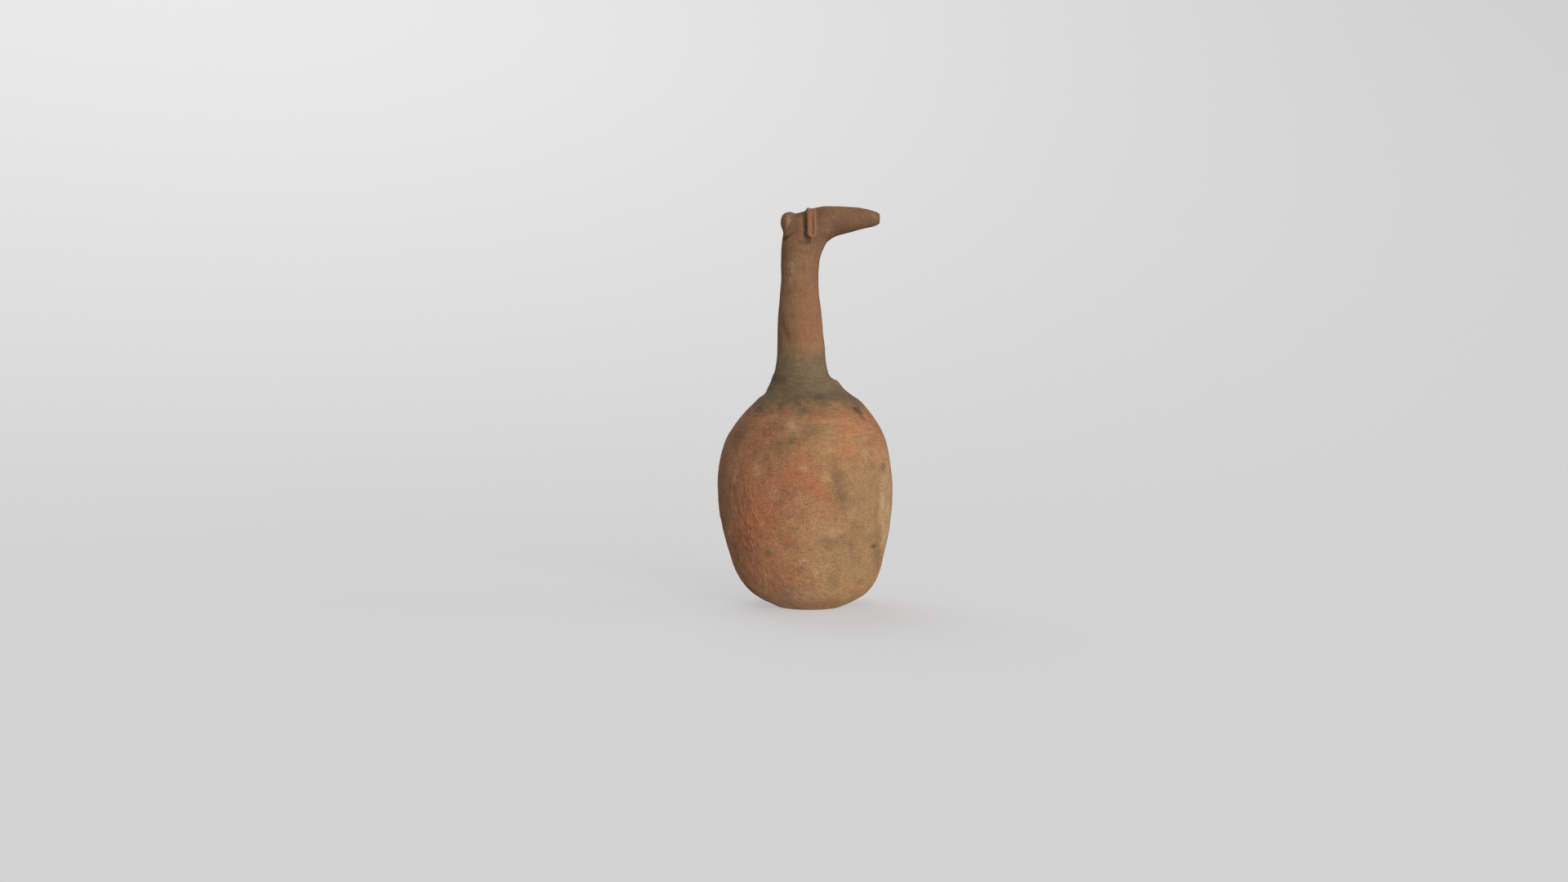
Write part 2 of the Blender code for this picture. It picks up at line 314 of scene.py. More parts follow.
@dataclass(frozen=True)
class VaseForm:
    """The bare form: oval sections that lie flat in body and neck and fan round the throat to the snout.

    A section spans from a point on the back outline to a point on the front outline, and is as wide as
    its half width says. The body, neck and head tables give shares of the sizes below.
    """

    body_height: float = 180.0
    body_radius: float = 72.1
    body_depth_share: float = 0.985
    foot_radius: float = 27.5
    foot_shift: float = 3.5
    neck_length: float = 100.0
    neck_root_radius: float = 30.8
    neck_radius: float = 15.5
    neck_lean: float = 4.2
    head_height: float = 50.0
    head_half_width: float = 15.5
    snout_reach: float = 66.1
    mouth_half_width: float = 4.2
    mouth_half_height: float = 3.2
    mouth_share: float = 0.796
    lip: float = 0.7
    lip_depth: float = 2.4
    floor_wall: float = 8.0
    body_wall: float = 6.5
    neck_wall: float = 5.5
    snout_wall: float = 4.6
    least_cosine: float = 0.42  # a wall that slants more than this across its section gets no thicker
    floor_clearance: float = 1.2  # how many floor walls up the hollow's lowest oval section lies

    # Share of the body's height, then the reach of the back and of the front, as shares of its radius
    body_outline: Rows = (
        (0.014, 0.400, 0.510),
        (0.034, 0.505, 0.605),
        (0.056, 0.585, 0.695),
        (0.084, 0.665, 0.760),
        (0.120, 0.735, 0.815),
        (0.170, 0.802, 0.860),
        (0.245, 0.867, 0.912),
        (0.350, 0.942, 0.964),
        (0.460, 0.990, 0.990),
        (0.565, 1.000, 1.000),
        (0.670, 0.975, 0.975),
        (0.755, 0.915, 0.925),
        (0.830, 0.805, 0.840),
        (0.890, 0.680, 0.745),
        (0.940, 0.550, 0.630),
        (0.972, 0.460, 0.510),
    )

    # Share of the neck's length, share of its lean, and its radius as a share of the narrowest
    neck_outline: Rows = (
        (0.045, 0.36, 1.76),
        (0.085, 0.70, 1.575),
        (0.150, 0.66, 1.40),
        (0.220, 0.70, 1.305),
        (0.330, 0.76, 1.265),
        (0.450, 0.95, 1.205),
        (0.620, 1.04, 1.135),
        (0.780, 1.08, 1.030),
        (0.900, 1.02, 0.995),
    )

    # Back or top point and front or underside point, each as shares of the snout's reach and the head's
    # height, and half width as a share of the head's own
    head_outline: Rows = (
        (-0.236, 0.060, 0.243, 0.040, 1.00),
        (-0.230, 0.340, 0.262, 0.150, 1.00),
        (-0.207, 0.550, 0.286, 0.240, 1.02),
        (-0.157, 0.716, 0.313, 0.315, 1.04),
        (-0.044, 0.874, 0.347, 0.386, 1.05),
        (0.109, 0.940, 0.398, 0.446, 1.00),
        (0.270, 0.996, 0.470, 0.503, 0.92),
        (0.430, 1.002, 0.560, 0.540, 0.83),
        (0.600, 0.998, 0.660, 0.572, 0.74),
        (0.750, 0.984, 0.770, 0.610, 0.65),
        (0.860, 0.956, 0.865, 0.641, 0.56),
        (0.930, 0.928, 0.930, 0.664, 0.48),
        (0.980, 0.900, 0.980, 0.694, 0.40),
    )

    @property
    def throat_level(self) -> float:
        """Height at which the neck ends and the head begins."""
        return self.body_height + self.neck_length

    @property
    def top_level(self) -> float:
        """Height of the top of the snout."""
        return self.throat_level + self.head_height

    @property
    def tip_x(self) -> float:
        """How far in front of the body's axis the snout ends."""
        return self.snout_reach - self.neck_lean

    def body_sections(self) -> Array:
        """The foot's section, then one for each row of the body's table."""
        level, back, front = np.array(self.body_outline).T
        z = level * self.body_height
        half_width = (back + front) / 2 * self.body_radius * self.body_depth_share
        rows = np.column_stack([-back * self.body_radius, z, front * self.body_radius, z, half_width])
        near, far = self.foot_shift - self.foot_radius, self.foot_shift + self.foot_radius
        return np.vstack([(near, 0.0, far, 0.0, self.foot_radius), rows])

    def neck_sections(self) -> Array:
        """The section at the neck's root, then one for each row of the neck's table."""
        level, lean, share = np.array(self.neck_outline).T
        z = self.body_height + level * self.neck_length
        radius = share * self.neck_radius
        middle = -lean * self.neck_lean
        rows = np.column_stack([middle - radius, z, middle + radius, z, radius])
        root = self.neck_root_radius
        return np.vstack([(-root, self.body_height, root, self.body_height, root), rows])

    def head_sections(self) -> Array:
        """One section for each row of the head's table, then the crest of the lip."""
        table = np.array(self.head_outline)
        along, up = table[:, [0, 2]], table[:, [1, 3]]
        x = along * self.snout_reach - self.neck_lean
        z = self.throat_level + up * self.head_height
        half_width = table[:, 4] * self.head_half_width
        rows = np.column_stack([x[:, 0], z[:, 0], x[:, 1], z[:, 1], half_width])
        return np.vstack([rows, self.mouth_section(self.tip_x, self.lip)])

    def mouth_section(self, x: float, beyond: float) -> Numbers:
        """An upright oval round the mouth's middle.

        Args:
            x: Its place along X.
            beyond: How far it lies outside the mouth's edge.

        Returns:
            The section's row of numbers.
        """
        middle = self.throat_level + self.mouth_share * self.head_height
        half_height = self.mouth_half_height + beyond
        return (x, middle + half_height, x, middle - half_height, self.mouth_half_width + beyond)

    def outside(
        self, counts: Counts, crowding: float = 0.0, place: float = 0.0
    ) -> tuple[Array, Array, Array]:
        """Sections of the outside, foot to lip, spaced evenly along the mean of both outlines. In the
        head, even shares t move to t - c sin(2 pi (t - p)) / 2 pi, so that they crowd round the share p.

        Args:
            counts: The number of sections in the body, the neck and the head.
            crowding: How much closer the head's sections stand at their closest.
            place: Share of the head's sections at which they are closest.

        Returns:
            The sections, their distances along the vase, and the thickness of the wall at each.
        """
        body, neck, head = self.body_sections(), self.neck_sections(), self.head_sections()
        rows = np.vstack([body, neck, head])
        moved = [np.linalg.norm(np.diff(rows[:, rail], axis=0), axis=1) for rail in (BACK, FRONT)]
        knots = np.concatenate([[0.0], np.cumsum(np.mean(moved, axis=0))])
        root, throat = knots[len(body)], knots[len(body) + len(neck)]
        even = np.linspace(0.0, 1.0, counts[2])
        shift = np.sin(2 * np.pi * (even - place)) + np.sin(2 * np.pi * place)
        crowded = even - crowding * shift / (2 * np.pi)
        at = np.concatenate(
            [
                np.linspace(0.0, root, counts[0], endpoint=False),
                np.linspace(root, throat, counts[1], endpoint=False),
                throat + (knots[-1] - throat) * crowded,
            ]
        )
        thickness = [self.body_wall, self.body_wall, self.neck_wall, self.snout_wall]
        return along_curve(rows, knots, at), at, np.interp(at, [0.0, root, throat, knots[-1]], thickness)

    def lip_sections(self, count: int) -> Array:
        """A quarter round from the crest of the lip in to the edge of the mouth.

        Args:
            count: The number of sections.

        Returns:
            The sections.
        """
        turns = np.linspace(0.0, np.pi / 2, count + 1)[1:]
        places = zip(self.tip_x - self.lip * (1 - np.cos(turns)), self.lip * (1 - np.sin(turns)))
        return np.array([self.mouth_section(x, beyond) for x, beyond in places])

    def inside(self, counts: Counts) -> Array:
        """Each outside section drawn in by the wall, square to the wall, and never smaller than the mouth.

        Args:
            counts: The number of sections in the body, the neck and the head.

        Returns:
            The sections from the mouth back down to the floor of the hollow.
        """
        outside, _, walls = self.outside(counts)
        inward = outside[:, FRONT] - outside[:, BACK]
        inward /= np.linalg.norm(inward, axis=1)[:, None]
        normals = np.column_stack([-inward[:, 1], inward[:, 0]])
        inside = outside.copy()
        squareness = []
        for rail, sense in ((BACK, 1.0), (FRONT, -1.0)):
            run = np.gradient(outside[:, rail], axis=0)
            run /= np.linalg.norm(run, axis=1)[:, None]
            cosine = np.clip(np.abs(np.sum(run * normals, axis=1)), self.least_cosine, 1.0)
            inside[:, rail] += sense * inward * (walls / cosine)[:, None]
            squareness.append(cosine)
        inside[:, SIDEWAYS] -= walls / np.mean(squareness, axis=0)
        middles = (outside[:, BACK] + outside[:, FRONT]) / 2
        halves = np.sum((inside[:, FRONT] - inside[:, BACK]) * inward, axis=1) / 2
        tight = halves < self.mouth_half_height
        inside[tight, BACK] = (middles - inward * self.mouth_half_height)[tight]
        inside[tight, FRONT] = (middles + inward * self.mouth_half_height)[tight]
        inside[:, SIDEWAYS] = np.maximum(inside[:, SIDEWAYS], self.mouth_half_width)
        levels = inside[: counts[0], 1]
        floor = np.array([np.interp(self.floor_wall, levels, column) for column in inside[: counts[0]].T])
        floor[[1, 3]] = self.floor_wall
        lowest = np.minimum(inside[:, 1], inside[:, 3])
        clear_of_floor = lowest > self.floor_clearance * self.floor_wall
        clear_of_lip = inside[:, 0] < self.tip_x - self.lip_depth
        return np.vstack([inside[clear_of_floor & clear_of_lip][::-1], floor])

    def carried(self, sections: Array, turns: Array) -> Array:
        """The ovals of the sections: the middle, plus the cosine of the turn times the reach to the front
        point, and its sine times the half width along Y.

        Args:
            sections: Rows of section numbers.
            turns: Angles round the section, from the front point towards +Y.

        Returns:
            Places in rows along the vase and columns round it.
        """
        middle = (sections[:, BACK] + sections[:, FRONT])[:, None] / 2
        reach = (sections[:, FRONT] - sections[:, BACK])[:, None] / 2
        flat = middle + reach * np.cos(turns)[None, :, None]
        y = np.sin(turns)[None, :] * sections[:, SIDEWAYS][:, None]
        return np.stack([flat[..., 0], y, flat[..., 1]], axis=-1)


@dataclass(frozen=True)
class NapeKnob:
    """The knob pinched up at the nape: a ball drawn upwards and sideways, worked into the head."""

    half_length: float = 6.5
    half_width: float = 8.0
    half_height: float = 9.2
    stand: float = 6.2
    drop: float = 4.0
    fillet: float = 3.0  # how far off the ball the clay begins to rise towards it
    reach: float = 10.0
    samples: int = 101
    near_share: float = 2.2  # half heights from the ball's middle within which the clay is worked out

    def middle(self, form: VaseForm, sections: Array) -> Array:
        """The ball's middle: a stand's distance out of the nape, and a drop below the snout's top.

        Args:
            form: The vase's sizes.
            sections: Sections of the outside.

        Returns:
            The middle's place.
        """
        z = form.top_level - self.drop - self.half_height
        head = sections[sections[:, 1] > form.throat_level]
        nape = np.interp(z, head[:, 1], head[:, 0])
        return np.array([nape - self.stand + self.half_length, 0.0, z])

    def stand_out(self, points: Array, normals: Array, middle: Array) -> Array:
        """How far each place goes out to lie on the ball. The distances from the head and from the ball
        are joined by min(a, b) - max(k - |a - b|, 0)^2 / 4k, and the last zero along the normal is taken.

        Args:
            points: Places on the head.
            normals: The outward ways there.
            middle: The ball's middle.

        Returns:
            A distance along the normal for each place.
        """
        steps = np.linspace(0.0, self.reach, self.samples)
        size = np.array([self.half_length, self.half_width, self.half_height])
        near = np.linalg.norm(points - middle, axis=-1) < self.near_share * self.half_height
        along = points[near][:, None] + normals[near][:, None] * steps[None, :, None]
        scaled = (along - middle) / size
        length = np.linalg.norm(scaled, axis=-1)
        from_ball = length * (length - 1) / np.maximum(np.linalg.norm(scaled / size, axis=-1), TINY)
        from_head = np.broadcast_to(steps, from_ball.shape)
        overlap = np.maximum(self.fillet - np.abs(from_head - from_ball), 0.0)
        joined = np.minimum(from_head, from_ball) - overlap**2 / (4 * self.fillet)
        last = self.samples - 1 - np.argmax((joined <= 0)[:, ::-1], axis=1)
        last = np.minimum(last, self.samples - 2)
        row = np.arange(len(last))
        below, above = joined[row, last], joined[row, last + 1]
        share = np.clip(-below / np.maximum(above - below, TINY), 0.0, 1.0)
        out = np.zeros(points.shape[:-1])
        out[near] = steps[last] + share * (steps[1] - steps[0])
        return out


@dataclass(frozen=True)
class EarRoll:
    """The roll of clay over the crown whose ends hang on the cheeks as ears.

    Its height is read from two profiles, by the distance inside the roll's edge: a steep one behind, with
    a recess pressed in beside it, and a gentle one in front, with a groove and a thin lip.
    """

    half_width: float = 3.7
    end_level: float = 305.0
    levels: Numbers = (298.0, 302.0, 309.0, 318.0, 325.0, 330.0)
    places: Numbers = (3.7, 4.3, 4.9, 4.9, 4.5, 3.9)
    behind: tuple[Pair, ...] = (
        (-6.0, 0.0),
        (-4.4, -0.2),
        (-2.8, -0.8),
        (-1.3, -1.3),
        (-0.5, -0.8),
        (0.3, 1.2),
        (0.9, 2.3),
        (1.9, 2.8),
        (3.6, 2.5),
    )
    before: tuple[Pair, ...] = (
        (-4.2, 0.0),
        (-2.6, 0.15),
        (-0.9, 0.7),
        (0.2, 1.4),
        (1.2, 1.75),
        (1.9, 1.5),
        (2.4, 1.1),
        (2.9, 1.8),
        (3.6, 2.5),
    )
    crown_to_cheek: Pair = (4.0, 11.0)  # distances from the middle plane
    cheek_change: Pair = (-0.5, 0.9)  # places across the roll where the profiles give way to each other
    crown_change: Pair = (-1.5, 2.2)
    crown_share_behind: float = 0.66
    crown_share_before: float = 0.15

    def height(self, points: Array) -> Array:
        """How far each place stands out of the head, or lies in the recess where it is below 0.

        Args:
            points: Places on the head.

        Returns:
            A height for each place.
        """
        x, aside, z = points[..., 0], np.abs(points[..., 1]), points[..., 2]
        over = x - np.interp(z, self.levels, self.places)
        from_line = np.hypot(over, np.minimum(z - self.end_level, 0.0))
        inside_edge = self.half_width - from_line
        crown = smooth_step(self.crown_to_cheek[1], self.crown_to_cheek[0], aside)
        behind = profile_height(self.behind, inside_edge)
        before = profile_height(self.before, inside_edge)
        behind *= np.where(behind > 0, 1 - (1 - self.crown_share_behind) * crown, 1 - crown)
        before *= 1 - (1 - self.crown_share_before) * crown
        front = smooth_step(*self.cheek_change, over) * (1 - crown)
        front += smooth_step(*self.crown_change, over) * crown
        return behind * (1 - front) + before * front


@dataclass(frozen=True)
class Swell:
    """A soft rise or hollow, in the shape of a bell."""

    across: float
    up: float
    half_length: float
    half_width: float
    turn: float  # degrees from level, anticlockwise
    height: float

    def at(self, across: Array, up: Array) -> Array:
        """Its height, exp(-(a/length)^2 - (b/width)^2) of the full one, where a and b are the distances
        from its middle along and across it.

        Args:
            across: Places across the seen plane.
            up: Heights on it.

        Returns:
            A height for each place.
        """
        along, beside = turned(across - self.across, up - self.up, self.turn)
        return self.height * np.exp(-((along / self.half_length) ** 2) - (beside / self.half_width) ** 2)


@dataclass(frozen=True)
class HandModelling:
    """What the maker's fingers left, the same on both sides. Its swells are placed by X and Z."""

    cheek_swells: tuple[Swell, ...] = (
        Swell(-8.4, 307.5, 11.0, 5.5, 90.0, -0.9),  # hollow between knob and ear
        Swell(-2.7, 293.6, 7.0, 2.2, -12.0, 0.7),  # ridge under the ear's recess
        Swell(-14.9, 313.4, 7.5, 1.4, 77.0, 1.0),  # edge pinched down the knob
        Swell(-16.0, 302.8, 5.0, 1.4, 30.0, -1.3),  # crease under the knob
        Swell(27.0, 312.0, 16.0, 4.5, -8.0, -0.35),  # flattened side of the snout
    )
    crown_swells: tuple[Swell, ...] = (
        Swell(-14.6, 326.0, 2.6, 9.0, 0.0, -0.7),  # flattened top of the knob
        Swell(-8.6, 323.0, 3.0, 9.0, 0.0, 0.8),  # web between knob and crown
        Swell(-2.6, 324.0, 2.8, 9.0, 0.0, -0.5),  # crown pressed down behind the ears
    )
    outline_swells: tuple[Swell, ...] = (
        Swell(27.5, 184.5, 5.0, 2.4, -35.0, 1.7),  # ledge where the neck was joined on
        Swell(20.5, 193.5, 5.0, 2.6, -70.0, -0.4),
        Swell(14.5, 228.0, 22.0, 5.0, 90.0, 0.7),
        Swell(-22.5, 200.0, 9.0, 5.0, 90.0, 0.5),
        Swell(-37.0, 172.0, 4.0, 3.0, 45.0, 0.6),
    )
    side_begins: Pair = (2.0, 6.0)

    def height(self, points: Array) -> Array:
        """How far the fingers pushed each place out or in.

        Args:
            points: Places of the outside.

        Returns:
            A height for each place.
        """
        x, aside, z = points[..., 0], np.abs(points[..., 1]), points[..., 2]
        side = smooth_step(*self.side_begins, aside)
        cheeks = sum(swell.at(x, z) for swell in self.cheek_swells)
        crown = sum(swell.at(x, z) for swell in self.crown_swells)
        outline = sum(swell.at(x, z) for swell in self.outline_swells)
        return cheeks * side + crown * (1 - side) + outline


@dataclass(frozen=True)
class Strokes:
    """Marks of one tool: noise on the rolled-out surface, whose cells are as wide and long as the marks."""

    height: float
    cells: Triple
    post_radius: float
    levels: Numbers  # heights above the floor between which the marks come and go
    seed_step: int


@dataclass(frozen=True)
class ClayRelief:
    """The shallow relief of the surface: unevenness, scraping, wiping, brushing, dents and cuts."""

    foot_fade: Pair = (1.0, 14.0)
    lip_fade: float = 3.0
    broad_height: float = 0.55
    broad_cell: float = 34.0
    lumpy_height: float = 0.22
    lumpy_cell: float = 11.0
    quiet_share: float = 0.45  # how uneven the neck and head are beside the body
    quiet_levels: Pair = (170.0, 205.0)
    scraping: Strokes = Strokes(0.34, (2.7, 2.7, 6.5), 72.0, (5.0, 16.0, 92.0, 122.0), 1)
    wiping: Strokes = Strokes(0.07, (15.0, 15.0, 2.6), 60.0, (118.0, 145.0, 200.0, 212.0), 3)
    brushing: Strokes = Strokes(0.10, (2.3, 2.3, 24.0), 20.0, (184.0, 200.0, 292.0, 304.0), 4)
    scrape_lean: float = 0.0042  # turn in radians for each millimetre along
    lean_ends: float = 215.0  # distance along the vase
    scrape_window: Numbers = (105.0, 150.0, 226.0, 262.0)  # degrees round the vase
    scrape_elsewhere: float = 0.25
    patch_limits: Pair = (-0.2, 0.7)  # of the noise that places scraped patches elsewhere
    patch_cell: float = 42.0
    scrape_share: Pair = (0.75, 0.5)  # the mean, and how far it swings
    scrape_swing_cell: float = 16.0
    near_limits: Pair = (0.02, 0.25)  # cosines towards the camera between which the near marks begin
    near_swells: tuple[Swell, ...] = (
        Swell(60.0, 69.0, 32.0, 2.6, 91.0, -0.35),  # valley beside the pressed facet
        Swell(65.0, 69.0, 34.0, 2.2, 91.0, 0.25),  # crest of the facet
        Swell(-16.2, 227.0, 10.5, 2.2, -73.0, -0.5),  # groove down the neck
        Swell(43.6, 161.4, 4.0, 1.3, -38.0, -0.7),  # valley of the crack
        Swell(49.0, 154.0, 7.0, 1.0, -64.0, -0.3),
        Swell(56.9, 47.7, 2.0, 1.8, 0.0, -0.6),  # pit
        Swell(1.7, 113.3, 3.4, 1.6, -20.0, -0.25),  # chips
        Swell(-1.0, 36.5, 2.4, 2.0, 0.0, -0.3),
        Swell(-9.5, 144.0, 7.0, 3.0, 25.0, -0.25),
        Swell(20.0, 88.0, 16.0, 26.0, 0.0, -0.5),  # dents left by pressing hands
        Swell(-30.0, 128.0, 22.0, 14.0, 20.0, -0.45),
    )
    dents_behind: float = 5.0  # the least Y of a dent's middle
    dents_above: float = 12.0
    dent_count: int = 16
    dent_radius: Pair = (7.0, 17.0)
    dent_depth: Pair = (0.2, 0.6)
    seed: int = 41
    patch_step: int = 2  # from the seed to that of each further noise
    lumpy_step: int = 5
    foot_step: int = 6
    swing_step: int = 7

    def rolled_out(self, turns: Array, along: Array, radius: float) -> Array:
        """The surface as if on a round post: radius times cosine and sine of the turn, and the distance
        along the vase. Noise stretched on it makes strokes that follow the surface with no seam, and
        lean as the maker's hand did, up to the neck.

        Args:
            turns: Angles round the vase, one for each column.
            along: Distances along the vase, one for each row.
            radius: The post's radius.

        Returns:
            Places on the post, in rows and columns.
        """
        lean = self.scrape_lean * np.minimum(along, self.lean_ends)
        leaning = turns[None, :] + lean[:, None]
        height = np.broadcast_to(along[:, None], leaning.shape)
        return np.stack([radius * np.cos(leaning), radius * np.sin(leaning), height], axis=-1)

    def scraped(self, points: Array, turns: Array) -> Array:
        """How strongly each place was scraped: fully low on the left, and in weak patches elsewhere.

        Args:
            points: Places of the surface.
            turns: Angles round the vase, one for each column.

        Returns:
            A share for each place.
        """
        degrees = np.broadcast_to(np.degrees(turns) % 360.0, points.shape[:-1])
        mean, swing = self.scrape_share
        uneven = mean + swing * Noise(self.seed + self.swing_step).at(points, self.scrape_swing_cell)
        places = Noise(self.seed + self.patch_step).at(points, self.patch_cell)
        patches = smooth_step(*self.patch_limits, places)
        share = np.maximum(window(self.scrape_window, degrees), patches * self.scrape_elsewhere) * uneven
        return np.clip(share, 0.0, 1.0) * window(self.scraping.levels, points[..., 2])

    def worked(self, points: Array, turns: Array, along: Array) -> Array:
        """Scraping, wiping and brushing strokes, each in its own part of the vase.

        Args:
            points: Places of the surface.
            turns: Angles round the vase, one for each column.
            along: Distances along the vase, one for each row.

        Returns:
            A height for each place.
        """
        shares = [window(kind.levels, points[..., 2]) for kind in (self.wiping, self.brushing)]
        total = np.zeros(points.shape[:-1])
        kinds = (self.scraping, self.wiping, self.brushing)
        for kind, share in zip(kinds, [self.scraped(points, turns), *shares]):
            rolled = self.rolled_out(turns, along, kind.post_radius)
            total += kind.height * Noise(self.seed + kind.seed_step).at(rolled, kind.cells) * share
        return total

    def height(self, view: View, turns: Array, along: Array) -> Array:
        """All of the relief: how far each place goes out along its normal.

        Args:
            view: The surface as the camera sees it, which places the marks of the near side.
            turns: Angles round the vase, one for each column.
            along: Distances along the vase, one for each row.

        Returns:
            A height for each place.
        """
        points = view.points
        uneven = self.broad_height * Noise(self.seed).at(points, self.broad_cell)
        uneven += self.lumpy_height * Noise(self.seed + self.lumpy_step).layered(points, self.lumpy_cell, 2)
        quiet = 1 - (1 - self.quiet_share) * smooth_step(*self.quiet_levels, points[..., 2])
        total = uneven * quiet + self.worked(points, turns, along)
        near = smooth_step(*self.near_limits, view.facing)
        total += near * sum(swell.at(view.across, view.up) for swell in self.near_swells)
        rng = np.random.default_rng(self.seed)
        behind = np.argwhere((points[..., 1] > self.dents_behind) & (points[..., 2] > self.dents_above))
        for row, column in behind[rng.integers(0, len(behind), self.dent_count)]:
            radius, depth = rng.uniform(*self.dent_radius), rng.uniform(*self.dent_depth)
            gap = np.linalg.norm(points - points[row, column], axis=-1)
            total -= depth * np.exp(-((gap / radius) ** 2))
        total *= smooth_step(*self.foot_fade, points[..., 2])
        return total * smooth_step(0.0, self.lip_fade, along[-1] - along)[:, None]


class Tint(Enum):
    """The kinds of stain on the fired clay, among them patches of painted light and painted shade. The value
    names its colour and its mesh attribute.
    """

    SMOKE = "smoke"
    BLUSH = "blush"
    OCHRE = "ochre"
    PALE = "pale"
    PATINA_AND_SHADE = "patina_and_shade"
    SOOT_AND_SHADE = "soot_and_shade"


@dataclass(frozen=True)
class Stain:
    """A soft-edged stain, placed as the camera sees it. Some of them are painted light and painted shade."""

    across: float
    up: float
    half_width: float
    half_height: float
    strength: float
    turn: float = 0.0  # degrees, anticlockwise
    swing_share: float = 0.45  # how far its edge wanders, beside its smaller half size
    swing_limit: float = 9.0  # the half size from which it wanders no further

    def share(self, view: View, wander: list[Array]) -> Array:
        """How much of the tint each place takes: strength times exp(-d^3), where d is the distance from
        the middle in half widths and half heights. The larger the stain, the more its edge wanders.

        Args:
            view: The surface as the camera sees it.
            wander: Two noises that move the edge.

        Returns:
            A share for each place.
        """
        swing = self.swing_share * min(self.half_width, self.half_height, self.swing_limit)
        right = view.across - self.across + swing * wander[0]
        above = view.up - self.up + swing * wander[1]
        along, beside = turned(right, above, self.turn)
        squared = (along / self.half_width) ** 2 + (beside / self.half_height) ** 2
        return self.strength * np.exp(-(squared**1.5))


